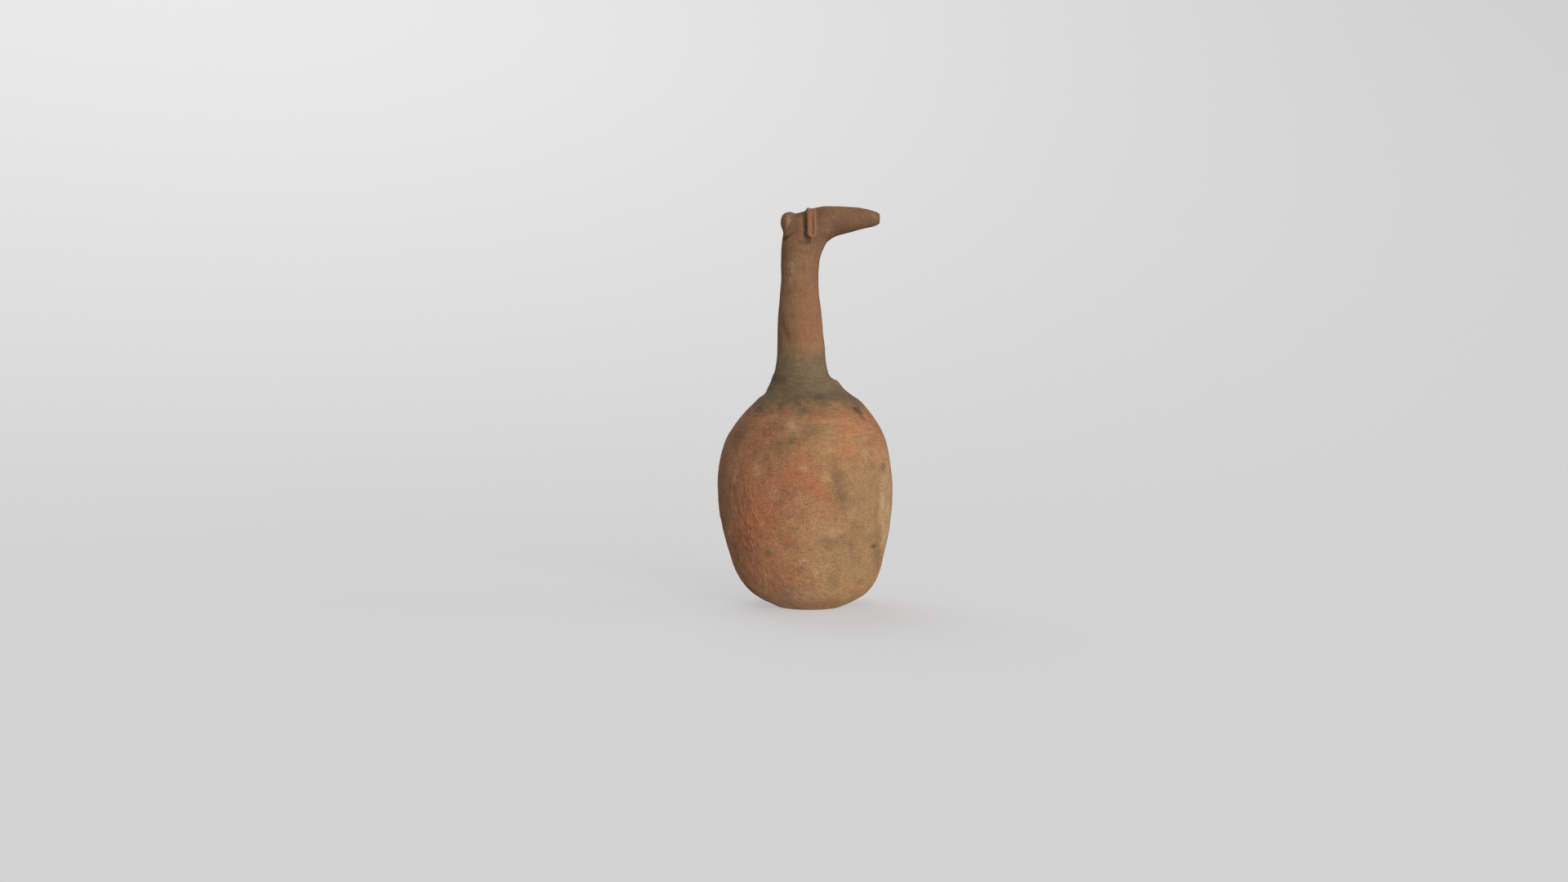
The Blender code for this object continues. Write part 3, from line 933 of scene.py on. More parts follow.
# Across, up, half width, half height and strength of each stain, and its turn where it has one
STAINS: dict[Tint, Rows] = {
    Tint.SMOKE: (
        (48, 96, 18, 26, 0.14), (32, 38, 15, 13, 0.34), (48, 57, 14, 17, 0.3), (45, 30, 10, 14, 0.15),
        (26, 86, 8, 11, 0.25), (6, 298, 10, 7, 0.35), (27, 316, 18, 9, 0.28, 5),
        (-1.7, 160.7, 6.8, 4.1, 0.8), (15.2, 169.5, 6.1, 4.1, 0.6), (31.5, 170.9, 6.8, 4.1, 0.7, -20),
        (-37.6, 162.8, 5.4, 4.1, 0.7, 30), (5.1, 143.8, 11.5, 7.4, 0.6), (-10.5, 135.7, 5.4, 5.4, 0.5),
        (-19.3, 130.3, 6.8, 6.1, 0.45), (27.4, 101.8, 6.1, 13.5, 0.5), (34.2, 88.3, 6.8, 8.1, 0.35),
        (20, 53.1, 9.5, 6.8, 0.45), (43.7, 95.1, 14.9, 16.2, 0.2), (23.4, 19.3, 5.4, 6.8, 0.45),
        (-29.4, 42.3, 3.4, 2.7, 0.6), (-13.9, 11.1, 6.8, 5.4, 0.2), (45, 19.3, 4.7, 3.4, 0.5),
        (58.6, 44.3, 3.4, 12.2, 0.5), (64, 112, 3.4, 5.4, 0.4), (-32.8, 120.1, 8.1, 6.1, 0.15),
        (-55.9, 34.1, 5.4, 9.5, 0.15, -20),
    ),
    Tint.BLUSH: (
        (-40, 80, 27, 45, 0.42), (-34, 30, 24, 24, 0.3), (-46, 145, 22, 16, 0.25, 40),
        (-32.8, 158, 8.1, 6.8, 0.55), (-18.6, 157.4, 6.8, 4.7, 0.5), (15.2, 156, 9.5, 3.4, 0.6, 10),
        (36.9, 150.6, 12.2, 8.1, 0.5, -10), (54.5, 154.7, 4.1, 6.8, 0.45, 30),
        (33.5, 143.8, 10.8, 6.1, 0.35), (34.2, 127.6, 6.1, 9.5, 0.45), (-52.5, 105.2, 6.1, 5.4, 0.75),
        (-5.1, 110, 12.2, 12.2, 0.7), (8.5, 96.4, 12.2, 6.8, 0.85, -15), (-20.6, 103.2, 9.5, 6.1, 0.6),
        (-41, 91.7, 10.8, 8.1, 0.45), (-33.5, 78.2, 8.8, 9.5, 0.8), (-46.4, 70, 6.1, 9.5, 0.6),
        (-54.5, 64.6, 5.4, 8.1, 0.55, -10), (-11.8, 84.2, 6.1, 4.7, 0.5), (-13.2, 53.8, 5.4, 2.7, 0.6),
        (-37.6, 57.8, 9.5, 9.5, 0.4), (-49.8, 53.1, 8.1, 6.8, 0.55), (-26.7, 37.5, 6.1, 4.1, 0.5),
        (-41, 25.3, 6.8, 5.4, 0.5), (-11.8, 24, 5.4, 5.4, 0.6), (-25.4, 13.8, 6.1, 3.4, 0.5),
        (-0.3, 2.3, 8.1, 3.4, 0.6), (11.8, -1.1, 6.8, 2.7, 0.5), (41, 51.8, 6.1, 5.4, 0.35),
        (60.6, 135.7, 5.4, 13.5, 0.45), (1, 237.2, 7.4, 28.4, 0.5), (9.1, 237.2, 3.4, 20.3, 0.4),
        (-0.3, 208.8, 5.4, 5.4, 0.45), (4, 313.1, 3, 12.2, 0.75), (-13.9, 321.9, 2.7, 4.1, 0.6),
        (-15.2, 313.1, 2, 3.4, 0.5), (41, 320.5, 4.1, 3.4, 0.6), (23.4, 319.8, 8.1, 4.1, 0.3),
        (56.5, 321.9, 4.1, 4.1, 0.4),
    ),
    Tint.OCHRE: (
        (28, 139, 24, 20, 0.4), (26, 30, 34, 30, 0.5), (52, 76, 24, 44, 0.5),
        (-9.1, 159.4, 5.4, 5.4, 0.45), (21.3, 130.3, 8.8, 8.1, 0.6), (33.5, 114, 13.5, 5.4, 0.35),
        # Painted light on the lit right edge: the strips at across 66, up 71.4 and across 64, up 122.
        (-39.6, 110.7, 3.4, 8.1, 0.75), (16.6, 105.2, 4.7, 9.5, 0.7), (66, 71.4, 4.7, 37.2, 0.85),
        (64, 122, 6, 20, 0.6, 8), (50.4, 101.8, 16.9, 20.3, 0.45), (12.5, 62.6, 6.8, 6.8, 0.55),
        (-24, 46.3, 4.7, 4.1, 0.5), (-11.8, 40.9, 8.1, 4.7, 0.5), (16.6, 34.1, 13.5, 10.8, 0.55),
        (13.2, 24, 5.4, 9.5, 0.5), (36.9, 3.7, 17.6, 5.4, 0.5), (43.7, 64.6, 14.9, 12.2, 0.4),
        (-37.6, 27.4, 4.1, 4.1, 0.5), (23.4, 164.1, 4.1, 3.4, 0.4), (33.5, 34.1, 16.2, 9.5, 0.4),
        (-0.3, 277.9, 8.1, 16.9, 0.25),
    ),
    Tint.PALE: (
        # Painted light: the band at up 3 lightens the underside, the patches at across -10, up 318 and across
        # 8, up 244 the knob's lit face and the neck's lit right edge, and the strip at across 67.5 the lit
        # right edge of the body.
        (8, 184, 17, 11, 0.17), (-8, 3, 24, 9, 0.35), (-9, 277, 4.5, 8.5, 0.62, 20),
        (-10, 318, 4.6, 6.5, 0.68), (49, 321, 11, 7, 0.24), (8, 244, 3.5, 14, 0.25),
        (-9.8, 147.9, 4.7, 4.1, 0.7), (49.8, 124.2, 2.7, 4.7, 0.6, 20), (-1, 113.4, 4.1, 2.7, 0.6),
        (-1.4, 36.5, 2.7, 2.4, 0.9), (-10.2, 278.5, 2, 4.7, 0.8, 20), (-11.8, 267.7, 1.7, 5.4, 0.5, 10),
        (67.5, 80, 4.5, 42, 0.5), (57.2, 322.6, 2.7, 2.7, 0.5), (-57.9, 106.6, 1.7, 7.4, 0.5, -10),
        (22, 57.8, 5.4, 2.7, 0.4), (-28.1, 154.7, 5.4, 3.4, 0.35), (-24, 91.7, 5.4, 5.4, 0.3),
        (26.7, 61.2, 4.1, 2.7, 0.3),
    ),
    Tint.PATINA_AND_SHADE: (
        # Painted shade: the strips at across -53 and -68 darken the shaded left edge of the shoulder and the
        # body. The other rows are patina.
        (-24, 161, 24, 6, 0.35, 8), (10, 160, 24, 5.5, 0.28), (-53, 142, 20, 7, 0.32, 56),
        (-68, 98, 5, 40, 0.3), (30, 314, 20, 8, 0.2, 5),
    ),
    Tint.SOOT_AND_SHADE: (
        # Painted shade: the rows at across 1.7, -2.5 and 0.4 darken the ear's recess, the one at -16.6, 305.6
        # the crease under the knob, and the one at 26, 306.5 the underside of the snout. The others are soot
        # and dark marks.
        (42.3, 162.8, 4.1, 3.4, 0.9, -30), (46.4, 156.7, 2, 4.1, 0.6, 30), (12.5, 171.6, 4.1, 2.7, 0.5),
        (-36.9, 161.4, 3.4, 2.7, 0.5), (-16.6, 305.6, 2.7, 3.4, 0.6), (-20.6, 187.2, 6.8, 4.1, 0.5),
        (57.2, 49, 1.7, 2, 0.6), (-54.5, 142.5, 6.8, 10.8, 0.25, -20), (1.7, 300.5, 3.4, 2, 0.5),
        (-2.5, 299, 4, 4, 0.35), (0.4, 312, 1.7, 13.5, 0.75), (26, 306.5, 26, 4, 0.3, 12),
        (-10.5, 135.7, 4.1, 3.4, 0.35),
    ),
}


@dataclass(frozen=True)
class StainMap:
    """Where the fire and the hands left their stains, on the near side as seen and elsewhere by chance. Some
    near stains are painted light and painted shade.
    """

    near_limits: Pair = (-0.34, 0.12)  # cosines towards the camera between which the near stains fade
    near_wander: float = 0.16
    edge_wander: float = 3.2
    edge_cell: float = 9.0
    smoke_band: Numbers = (157.0, 171.0, 196.0, 222.0)
    smoke_wander: float = 6.0
    patina_levels: Pair = (200.0, 225.0)
    neck_patina: float = 0.52  # the clay is darker where hands held it
    head_levels: Pair = (286.0, 310.0)
    head_patina: float = 0.10
    chance_counts: tuple[tuple[Tint, int], ...] = (
        (Tint.SMOKE, 15),
        (Tint.BLUSH, 26),
        (Tint.OCHRE, 20),
        (Tint.PALE, 12),
        (Tint.SOOT_AND_SHADE, 6),
    )
    chance_radius: Pair = (6.0, 19.0)
    chance_strength: Pair = (0.35, 0.8)
    chance_flattening: Pair = (0.6, 1.3)
    chance_weight: float = 0.5  # the least weight where a middle is drawn
    seed: int = 77

    def masks(self, view: View) -> dict[Tint, Array]:
        """The share of each tint at each place.

        Args:
            view: The surface as the camera sees it, its places in one row of three numbers each.

        Returns:
            A share from 0 to 1 for each tint and place.
        """
        points = view.points
        wander = [Noise(self.seed + i).layered(points, self.edge_cell, 3) for i in range(3)]
        near = smooth_step(*self.near_limits, view.facing + self.near_wander * wander[2])
        masks = {tint: np.zeros(len(points)) for tint in Tint}
        for tint, rows in STAINS.items():
            for row in rows:
                masks[tint] = covered(masks[tint], Stain(*row).share(view, wander) * near)
        self.add_chance_stains(masks, points, 1 - near, wander)
        level = points[:, 2] + self.smoke_wander * wander[2]
        masks[Tint.SMOKE] = covered(masks[Tint.SMOKE], window(self.smoke_band, level))
        handled = self.neck_patina * smooth_step(*self.patina_levels, level)
        handled += self.head_patina * smooth_step(*self.head_levels, level)
        masks[Tint.PATINA_AND_SHADE] = covered(masks[Tint.PATINA_AND_SHADE], handled)
        return masks

    def add_chance_stains(
        self, masks: dict[Tint, Array], points: Array, weight: Array, wander: list[Array]
    ) -> None:
        """Adds round stains at places drawn by lot, of the strength exp(-(distance / radius)^3).

        Args:
            masks: The shares so far, which are added to.
            points: Places of the surface.
            weight: How far each place takes these stains.
            wander: Three noises that make the edges uneven.
        """
        rng = np.random.default_rng(self.seed)
        moved = points + self.edge_wander * np.stack(wander, axis=-1)
        hidden = np.flatnonzero(weight > self.chance_weight)
        for tint, count in self.chance_counts:
            for index in hidden[rng.integers(0, len(hidden), count)]:
                radius, strength = rng.uniform(*self.chance_radius), rng.uniform(*self.chance_strength)
                flatter = (1.0, 1.0, rng.uniform(*self.chance_flattening))
                gap = np.linalg.norm((moved - points[index]) * flatter, axis=1)
                masks[tint] = covered(masks[tint], strength * weight * np.exp(-((gap / radius) ** 3)))


class FleckKind(Enum):
    """The kinds of small, sharp mark that the material draws: how dark, how pale and how deep each is."""

    SLIT = (0.85, 0.0, 1.0)
    CHIP = (0.0, 0.6, 0.25)
    SCRATCH = (0.0, 0.38, 0.3)
    # A crease's darkness is painted shade.
    CREASE = (0.35, 0.0, 0.6)
    RING = (0.38, 0.0, 0.6)


@dataclass(frozen=True)
class Fleck:
    """A small sharp mark, placed as the camera sees it."""

    kind: FleckKind
    across: float
    up: float
    half_length: float
    half_width: float
    turn: float  # degrees, anticlockwise


@dataclass(frozen=True)
class PlacedFleck:
    """A fleck on the clay: its middle, and the axes along it, across it and out of the clay."""

    fleck: Fleck
    middle: Vector
    axes: Matrix


FLECKS = (
    Fleck(FleckKind.SLIT, 41.8, 162.8, 2.5, 0.8, -55.0),
    Fleck(FleckKind.SLIT, 45.6, 159.8, 2.0, 0.6, -60.0),
    Fleck(FleckKind.SLIT, 48.6, 154.6, 5.6, 0.4, -66.0),
    Fleck(FleckKind.SLIT, 56.9, 47.7, 1.5, 1.0, 20.0),
    Fleck(FleckKind.RING, 64.6, 114.0, 3.4, 2.1, 80.0),
    Fleck(FleckKind.SCRATCH, 62.6, 122.0, 3.4, 0.45, 96.0),
    Fleck(FleckKind.CHIP, -0.7, 36.5, 2.1, 1.1, -30.0),
    Fleck(FleckKind.CHIP, 1.7, 113.2, 2.6, 0.6, -24.0),
    Fleck(FleckKind.SCRATCH, -1.0, 118.0, 5.0, 0.5, 12.0),
    Fleck(FleckKind.CHIP, -10.2, 281.9, 1.0, 1.0, 0.0),
    Fleck(FleckKind.SCRATCH, -10.4, 277.0, 2.8, 0.8, 70.0),
    Fleck(FleckKind.SCRATCH, -12.4, 267.0, 3.6, 0.5, 80.0),
    Fleck(FleckKind.SCRATCH, 38.5, 327.0, 4.6, 0.5, 22.0),
    Fleck(FleckKind.CHIP, -15.3, 319.8, 0.8, 0.6, 60.0),
    Fleck(FleckKind.CHIP, -16.2, 312.8, 0.9, 0.7, 30.0),
    Fleck(FleckKind.SCRATCH, -57.5, 106.0, 6.5, 0.5, 72.0),
    Fleck(FleckKind.SCRATCH, -60.0, 90.0, 4.0, 0.5, 84.0),
    # Creases at the ear and under the knob, whose darkness is painted shade.
    Fleck(FleckKind.CREASE, 6.0, 318.0, 8.5, 0.5, 92.0),
    Fleck(FleckKind.CREASE, 1.6, 312.0, 13.0, 0.6, 92.0),
    Fleck(FleckKind.CREASE, 3.0, 300.4, 3.0, 0.8, 10.0),
    Fleck(FleckKind.CREASE, -15.8, 303.0, 4.0, 0.6, 24.0),
)


@dataclass(frozen=True)
class Grain:
    """A noise in the material.

    cell is the size of its largest forms in millimetres. longer_round and longer_up say how many times longer
    than that they are round the vase and up it. detail is its number of finer layers, and roughness is the
    strength of each layer beside the one before.
    """

    cell: float
    detail: float = 3.0
    roughness: float = 0.6
    longer_round: float = 1.0
    longer_up: float = 1.0


class NodeBench:
    """Adds nodes to one node tree and wires them."""

    def __init__(self, tree: bpy.types.NodeTree) -> None:
        """Takes the tree to work on.

        Args:
            tree: The node tree.
        """
        self.tree = tree

    def add(self, kind: str, **settings: object) -> bpy.types.Node:
        """A new node.

        Args:
            kind: Its type.
            settings: Properties to set on it.

        Returns:
            The node.
        """
        node = self.tree.nodes.new(kind)
        for name, value in settings.items():
            setattr(node, name, value)
        return node

    def feed(self, socket: Socket, source: object) -> None:
        """Wires a socket into another one, or sets its value.

        Args:
            socket: The socket that takes it.
            source: A socket, or a plain value.
        """
        if isinstance(source, Socket):
            self.tree.links.new(source, socket)
        else:
            socket.default_value = source

    def maths(self, operation: str, *values: object, clamp: bool = False) -> Socket:
        """A sum on numbers.

        Args:
            operation: Its name in Blender.
            values: Sockets or numbers.
            clamp: True to keep the result from 0 to 1.

        Returns:
            The result.
        """
        node = self.add("ShaderNodeMath", operation=operation, use_clamp=clamp)
        for socket, value in zip(node.inputs, values):
            self.feed(socket, value)
        return node.outputs[0]

    def vector(self, operation: str, *values: object) -> Socket:
        """A sum on vectors.

        Args:
            operation: Its name in Blender.
            values: Sockets or vectors.

        Returns:
            The vector, or the number where the sum gives one.
        """
        node = self.add("ShaderNodeVectorMath", operation=operation)
        for socket, value in zip(node.inputs, values):
            self.feed(socket, value)
        return node.outputs["Value" if operation == "LENGTH" else "Vector"]

    def span(self, value: object, limits: Pair, onto: Pair = (0.0, 1.0)) -> Socket:
        """Maps a number from one span onto another, smoothly and held at the ends.

        Args:
            value: The number.
            limits: Where the first span begins and ends.
            onto: Where the second span begins and ends.

        Returns:
            The mapped number.
        """
        node = self.add("ShaderNodeMapRange", interpolation_type="SMOOTHSTEP")
        for socket, number in zip(node.inputs, (value, *limits, *onto)):
            self.feed(socket, number)
        return node.outputs[0]

    def mix(self, share: object, first: object, second: object) -> Socket:
        """Mixes two colours.

        Args:
            share: How much of the second.
            first: A colour or socket.
            second: A colour or socket.

        Returns:
            The mixed colour.
        """
        node = self.add("ShaderNodeMix", data_type="RGBA")
        for index, value in zip(MIX_SOCKETS, (share, first, second)):
            self.feed(node.inputs[index], value)
        return node.outputs[2]

    def noise(self, place: object, grain: "Grain") -> Socket:
        """Smooth noise.

        Args:
            place: Where it is read, in metres.
            grain: Its size, how drawn out it is, and its finer layers.

        Returns:
            A number round 0.5.
        """
        node = self.add("ShaderNodeTexNoise")
        shrink = (1 / grain.longer_round, 1 / grain.longer_round, 1 / grain.longer_up)
        drawn_out = shrink != (1.0, 1.0, 1.0)
        self.feed(node.inputs["Vector"], self.vector("MULTIPLY", place, shrink) if drawn_out else place)
        node.inputs["Scale"].default_value = 1 / (grain.cell * MM)
        node.inputs["Detail"].default_value = grain.detail
        node.inputs["Roughness"].default_value = grain.roughness
        return node.outputs["Fac"]

    def blend(self, parts: tuple[tuple[object, float], ...]) -> Socket:
        """Adds up numbers, each times its share.

        Args:
            parts: Sockets and their shares.

        Returns:
            The total.
        """
        total = self.maths("MULTIPLY", *parts[0])
        for value, share in parts[1:]:
            total = self.maths("MULTIPLY_ADD", value, share, total)
        return total

    def between(self, share: object, first: object, second: object) -> Socket:
        """A number part of the way from one to another.

        Args:
            share: How far, from 0 at the first to 1 at the second.
            first: A number or socket.
            second: A number or socket.

        Returns:
            The number.
        """
        return self.maths("MULTIPLY_ADD", self.maths("SUBTRACT", second, first), share, first)

    def bump(self, height: object, distance: float, normal: object = None) -> Socket:
        """Relief finer than the mesh.

        Args:
            height: A number for each place.
            distance: What a height of 1 stands for, in millimetres.
            normal: The relief that it lies on.

        Returns:
            The bent normal.
        """
        node = self.add("ShaderNodeBump")
        node.inputs["Distance"].default_value = distance * MM
        self.feed(node.inputs["Height"], height)
        if normal is not None:
            self.feed(node.inputs["Normal"], normal)
        return node.outputs["Normal"]


@dataclass(frozen=True)
class FiredClay:
    """Matt, low-fired earthenware: mottled terracotta with smoke, blush, ochre and soot stains, and patches
    of painted light and painted shade.
    """

    # Colours
    umber: Colour = (0.220, 0.110, 0.052, 1.0)
    terracotta: Colour = (0.330, 0.153, 0.072, 1.0)
    tan: Colour = (0.375, 0.193, 0.089, 1.0)
    orange: Colour = (0.405, 0.175, 0.076, 1.0)
    blush: Colour = (0.420, 0.142, 0.064, 1.0)
    smoke: Colour = (0.162, 0.115, 0.059, 1.0)
    ochre: Colour = (0.400, 0.238, 0.100, 1.0)
    # pale clay, and the painted light of some pale stains
    pale: Colour = (0.560, 0.400, 0.255, 1.0)
    # soot, and painted shade in creases and recesses
    soot_and_shade: Colour = (0.060, 0.042, 0.028, 1.0)
    # patina, and the painted shade along the left edge
    patina_and_shade: Colour = (0.125, 0.066, 0.038, 1.0)
    # Noises
    broad: Grain = Grain(42.0, roughness=0.55)
    patch: Grain = Grain(13.0, detail=4.0)
    mottle: Grain = Grain(4.6, detail=5.0, roughness=0.7)
    grit: Grain = Grain(1.15, detail=2.0, roughness=0.7)
    wiping: Grain = Grain(1.3, longer_round=8.0)
    fibres: Grain = Grain(1.1, longer_round=2.4)
    scoring: Grain = Grain(1.35, detail=2.0, roughness=0.5, longer_up=3.4)
    # The clay's own colour
    tone_shares: Triple = (0.42, 0.36, 0.22)  # of broad, patch and mottle
    tone_stops: Numbers = (0.36, 0.46, 0.56, 0.66)
    # How each tint is laid on: the noise that breaks it up, and its strength
    stain_layers: tuple[tuple[Tint, str, float], ...] = (
        (Tint.OCHRE, "patch", 1.1),
        (Tint.BLUSH, "mottle", 1.0),
        (Tint.SMOKE, "mottle", 1.25),
        (Tint.PALE, "mottle", 0.6),
        (Tint.PATINA_AND_SHADE, "mottle", 1.0),
        (Tint.SOOT_AND_SHADE, "mottle", 0.9),
    )
    broken_limits: Pair = (0.25, 0.65)
    broken_share: Pair = (0.45, 1.0)
    # Light and dark in the fine grain
    shade_shares: Triple = (0.5, 0.14, 0.36)  # of grit, mottle and strokes
    shade_limits: Pair = (0.3, 0.7)
    shade: Pair = (0.69, 1.31)
    scored_shade: float = 0.6
    # painted shade in the hollows, and lighter wear on the crests
    wear_and_hollow_shade_range: Pair = (0.70, 1.24)
    # Specks of temper
    speck_scale: float = 260.0
    speck_edge: Pair = (0.20, 0.08)
    light_specks: Pair = (0.94, 0.28)  # above which pick, and how strong
    dark_specks: Pair = (0.06, 0.55)  # below which pick, and how strong
    # Fraying of the small marks
    fray_scale: float = 900.0
    fray: float = 0.0011
    fleck_edge: Pair = (1.0, 0.35)
    ring_middle: float = 0.8
    ring_thinness: float = 3.6
    # Gloss and relief
    matt_limits: Pair = (0.3, 0.7)
    roughness: Pair = (0.80, 0.96)
    specular: float = 0.28
    stroke_height: Pair = (0.8, 2.6)  # elsewhere, and where the clay was scraped
    cut_depth: float = 1.6
    soft_distance: float = 0.5
    grit_distance: float = 0.36


class ClayBench(NodeBench):
    """Lays out the nodes of the clay's material, from the finish's values."""

    def __init__(self, clay: FiredClay, tree: bpy.types.NodeTree) -> None:
        """Adds the noises that its parts share.

        Args:
            clay: The finish.
            tree: The material's node tree.
        """
        super().__init__(tree)
        self.clay = clay
        self.place = self.add("ShaderNodeTexCoord").outputs["Object"]
        grains = {"broad": clay.broad, "patch": clay.patch, "mottle": clay.mottle, "grit": clay.grit}
        self.noises = {name: self.noise(self.place, grain) for name, grain in grains.items()}
        self.noises["strokes"] = self.strokes()

    def dress(self, shader: bpy.types.Node, flecks: list[PlacedFleck]) -> None:
        """Feeds a shader with the clay's colour, gloss and relief.

        Args:
            shader: The shader.
            flecks: The small marks.
        """
        clay = self.clay
        marks = self.marks(flecks)
        colour = self.speckled(self.shaded(self.stained(self.base())))
        colour = self.mix(marks["pale"], colour, clay.pale)
        # Dark marks: cracks, rings, and painted shade in the creases
        colour = self.mix(marks["dark"], colour, clay.soot_and_shade)
        self.feed(shader.inputs["Base Color"], colour)
        roughness = self.span(self.noises["mottle"], clay.matt_limits, clay.roughness)
        self.feed(shader.inputs["Roughness"], roughness)
        shader.inputs["Specular IOR Level"].default_value = clay.specular
        self.feed(shader.inputs["Normal"], self.relief(marks))

    def attribute(self, name: str) -> Socket:
        """The number that the mesh holds for each place under this name."""
        return self.add("ShaderNodeAttribute", attribute_name=name).outputs["Fac"]

    def strokes(self) -> Socket:
        """Fine strokes, round 0.5: long ones round the vase where it was wiped, upright scores where it was
        scraped, and short fibres elsewhere.
        """
        wrap = self.add("ShaderNodeAttribute", attribute_name="wrap").outputs["Vector"]
        grains = (self.clay.fibres, self.clay.wiping, self.clay.scoring)
        fibres, wiping, scoring = (self.noise(wrap, grain) for grain in grains)
        wiped = self.between(self.attribute("wiped"), fibres, wiping)
        return self.between(self.attribute("scraped"), wiped, scoring)

    def marks(self, flecks: list[PlacedFleck]) -> dict[str, Socket]:
        """The small sharp marks. Each is an ellipsoid round its middle, whose edge a noise frays.

        Args:
            flecks: The marks.

        Returns:
            How dark, how pale and how deep each place is.
        """
        clay = self.clay
        frayed = self.add("ShaderNodeTexNoise")
        self.feed(frayed.inputs["Vector"], self.place)
        frayed.inputs["Scale"].default_value = clay.fray_scale
        shift = self.vector("SUBTRACT", frayed.outputs["Color"], (MIDDLE,) * 3)
        scattered = self.vector("ADD", self.place, self.vector("MULTIPLY", shift, (clay.fray,) * 3))
        totals: dict[str, object] = {"dark": 0.0, "pale": 0.0, "cut": 0.0}
        for placed in flecks:
            fleck = placed.fleck
            local = self.add("ShaderNodeMapping", vector_type="TEXTURE")
            self.feed(local.inputs["Vector"], scattered)
            local.inputs["Location"].default_value = placed.middle * MM
            local.inputs["Rotation"].default_value = placed.axes.to_euler()
            size = (fleck.half_length, fleck.half_width, fleck.half_length)
            local.inputs["Scale"].default_value = Vector(size) * MM
            gap = self.vector("LENGTH", local.outputs[0])
            if fleck.kind is FleckKind.RING:
                gap = self.maths("ABSOLUTE", self.maths("SUBTRACT", gap, clay.ring_middle))
                gap = self.maths("MULTIPLY", gap, clay.ring_thinness)
            inside = self.span(gap, clay.fleck_edge)
            for name, strength in zip(totals, fleck.kind.value):
                if strength > 0:
                    share = self.maths("MULTIPLY", inside, strength)
                    totals[name] = self.maths("MAXIMUM", totals[name], share)
        return totals

    def base(self) -> Socket:
        """The clay's own colour, which drifts between umber, terracotta, tan and orange."""
        clay = self.clay
        layers = (self.noises["broad"], self.noises["patch"], self.noises["mottle"])
        ramp = self.add("ShaderNodeValToRGB")
        self.feed(ramp.inputs[0], self.blend(tuple(zip(layers, clay.tone_shares))))
        tones = (clay.umber, clay.terracotta, clay.tan, clay.orange)
        first, *middle, last = zip(clay.tone_stops, tones)
        stops = ramp.color_ramp.elements
        stops[0].position, stops[0].color = first
        stops[1].position, stops[1].color = last
        for position, tone in middle:
            stops.new(position).color = tone
        return ramp.outputs[0]

    def stained(self, colour: Socket) -> Socket:
        """Lays the stains over a colour, among them the patches of painted light and painted shade. Noise
        breaks each of them up.

        Args:
            colour: The colour so far.

        Returns:
            The stained colour.
        """
        for tint, noise, strength in self.clay.stain_layers:
            broken = self.span(self.noises[noise], self.clay.broken_limits, self.clay.broken_share)
            mask = self.maths("MULTIPLY", self.attribute(tint.value), broken)
            share = self.maths("MULTIPLY", mask, strength, clamp=True)
            colour = self.mix(share, colour, getattr(self.clay, tint.value))
        return colour

    def shaded(self, colour: Socket) -> Socket:
        """Adds grain and strokes in light and dark, painted shade in the hollows, and wear on the crests.

        Args:
            colour: The colour so far.

        Returns:
            The shaded colour.
        """
        clay, strokes = self.clay, self.noises["strokes"]
        layers = (self.noises["grit"], self.noises["mottle"], strokes)
        shade = self.span(self.blend(tuple(zip(layers, clay.shade_shares))), clay.shade_limits, clay.shade)
        scored = self.maths("MULTIPLY", self.maths("SUBTRACT", strokes, MIDDLE), self.attribute("scraped"))
        shade = self.maths("MULTIPLY_ADD", scored, clay.scored_shade, shade)
        # Painted shade where the relief lies low, and lighter wear where it stands high
        wear_and_hollow_shade = self.span(self.attribute("wear_and_hollow_shade"), (-1.0, 1.0), clay.wear_and_hollow_shade_range)
        darkened = self.vector("SCALE", colour)
        self.feed(darkened.node.inputs["Scale"], self.maths("MULTIPLY", shade, wear_and_hollow_shade))
        return darkened

    def speckled(self, colour: Socket) -> Socket:
        """Adds specks of temper, a few of them light and a few dark.

        Args:
            colour: The colour so far.

        Returns:
            The speckled colour.
        """
        clay = self.clay
        specks = self.add("ShaderNodeTexVoronoi", feature="F1")
        self.feed(specks.inputs["Vector"], self.place)
        specks.inputs["Scale"].default_value = clay.speck_scale
        pick = self.add("ShaderNodeSeparateColor")
        self.feed(pick.inputs[0], specks.outputs["Color"])
        small = self.span(specks.outputs["Distance"], clay.speck_edge)
        kinds = ((clay.light_specks, "GREATER_THAN", clay.pale), (clay.dark_specks, "LESS_THAN", clay.soot_and_shade))
        for (limit, strength), test, tone in kinds:
            chosen = self.maths("MULTIPLY", small, self.maths(test, pick.outputs[0], limit))
            colour = self.mix(self.maths("MULTIPLY", chosen, strength), colour, tone)
        return colour

    def relief(self, marks: dict[str, Socket]) -> Socket:
        """Relief too fine for the mesh: gritty grain, strokes, and the small marks cut into it.

        Args:
            marks: The small marks.

        Returns:
            The bent normal.
        """
        clay = self.clay
        stroke_height = self.between(self.attribute("scraped"), *clay.stroke_height)
        soft = self.maths("MULTIPLY_ADD", self.noises["strokes"], stroke_height, self.noises["mottle"])
        soft = self.maths("MULTIPLY_ADD", marks["cut"], -clay.cut_depth, soft)
        return self.bump(self.noises["grit"], clay.grit_distance, self.bump(soft, clay.soft_distance))


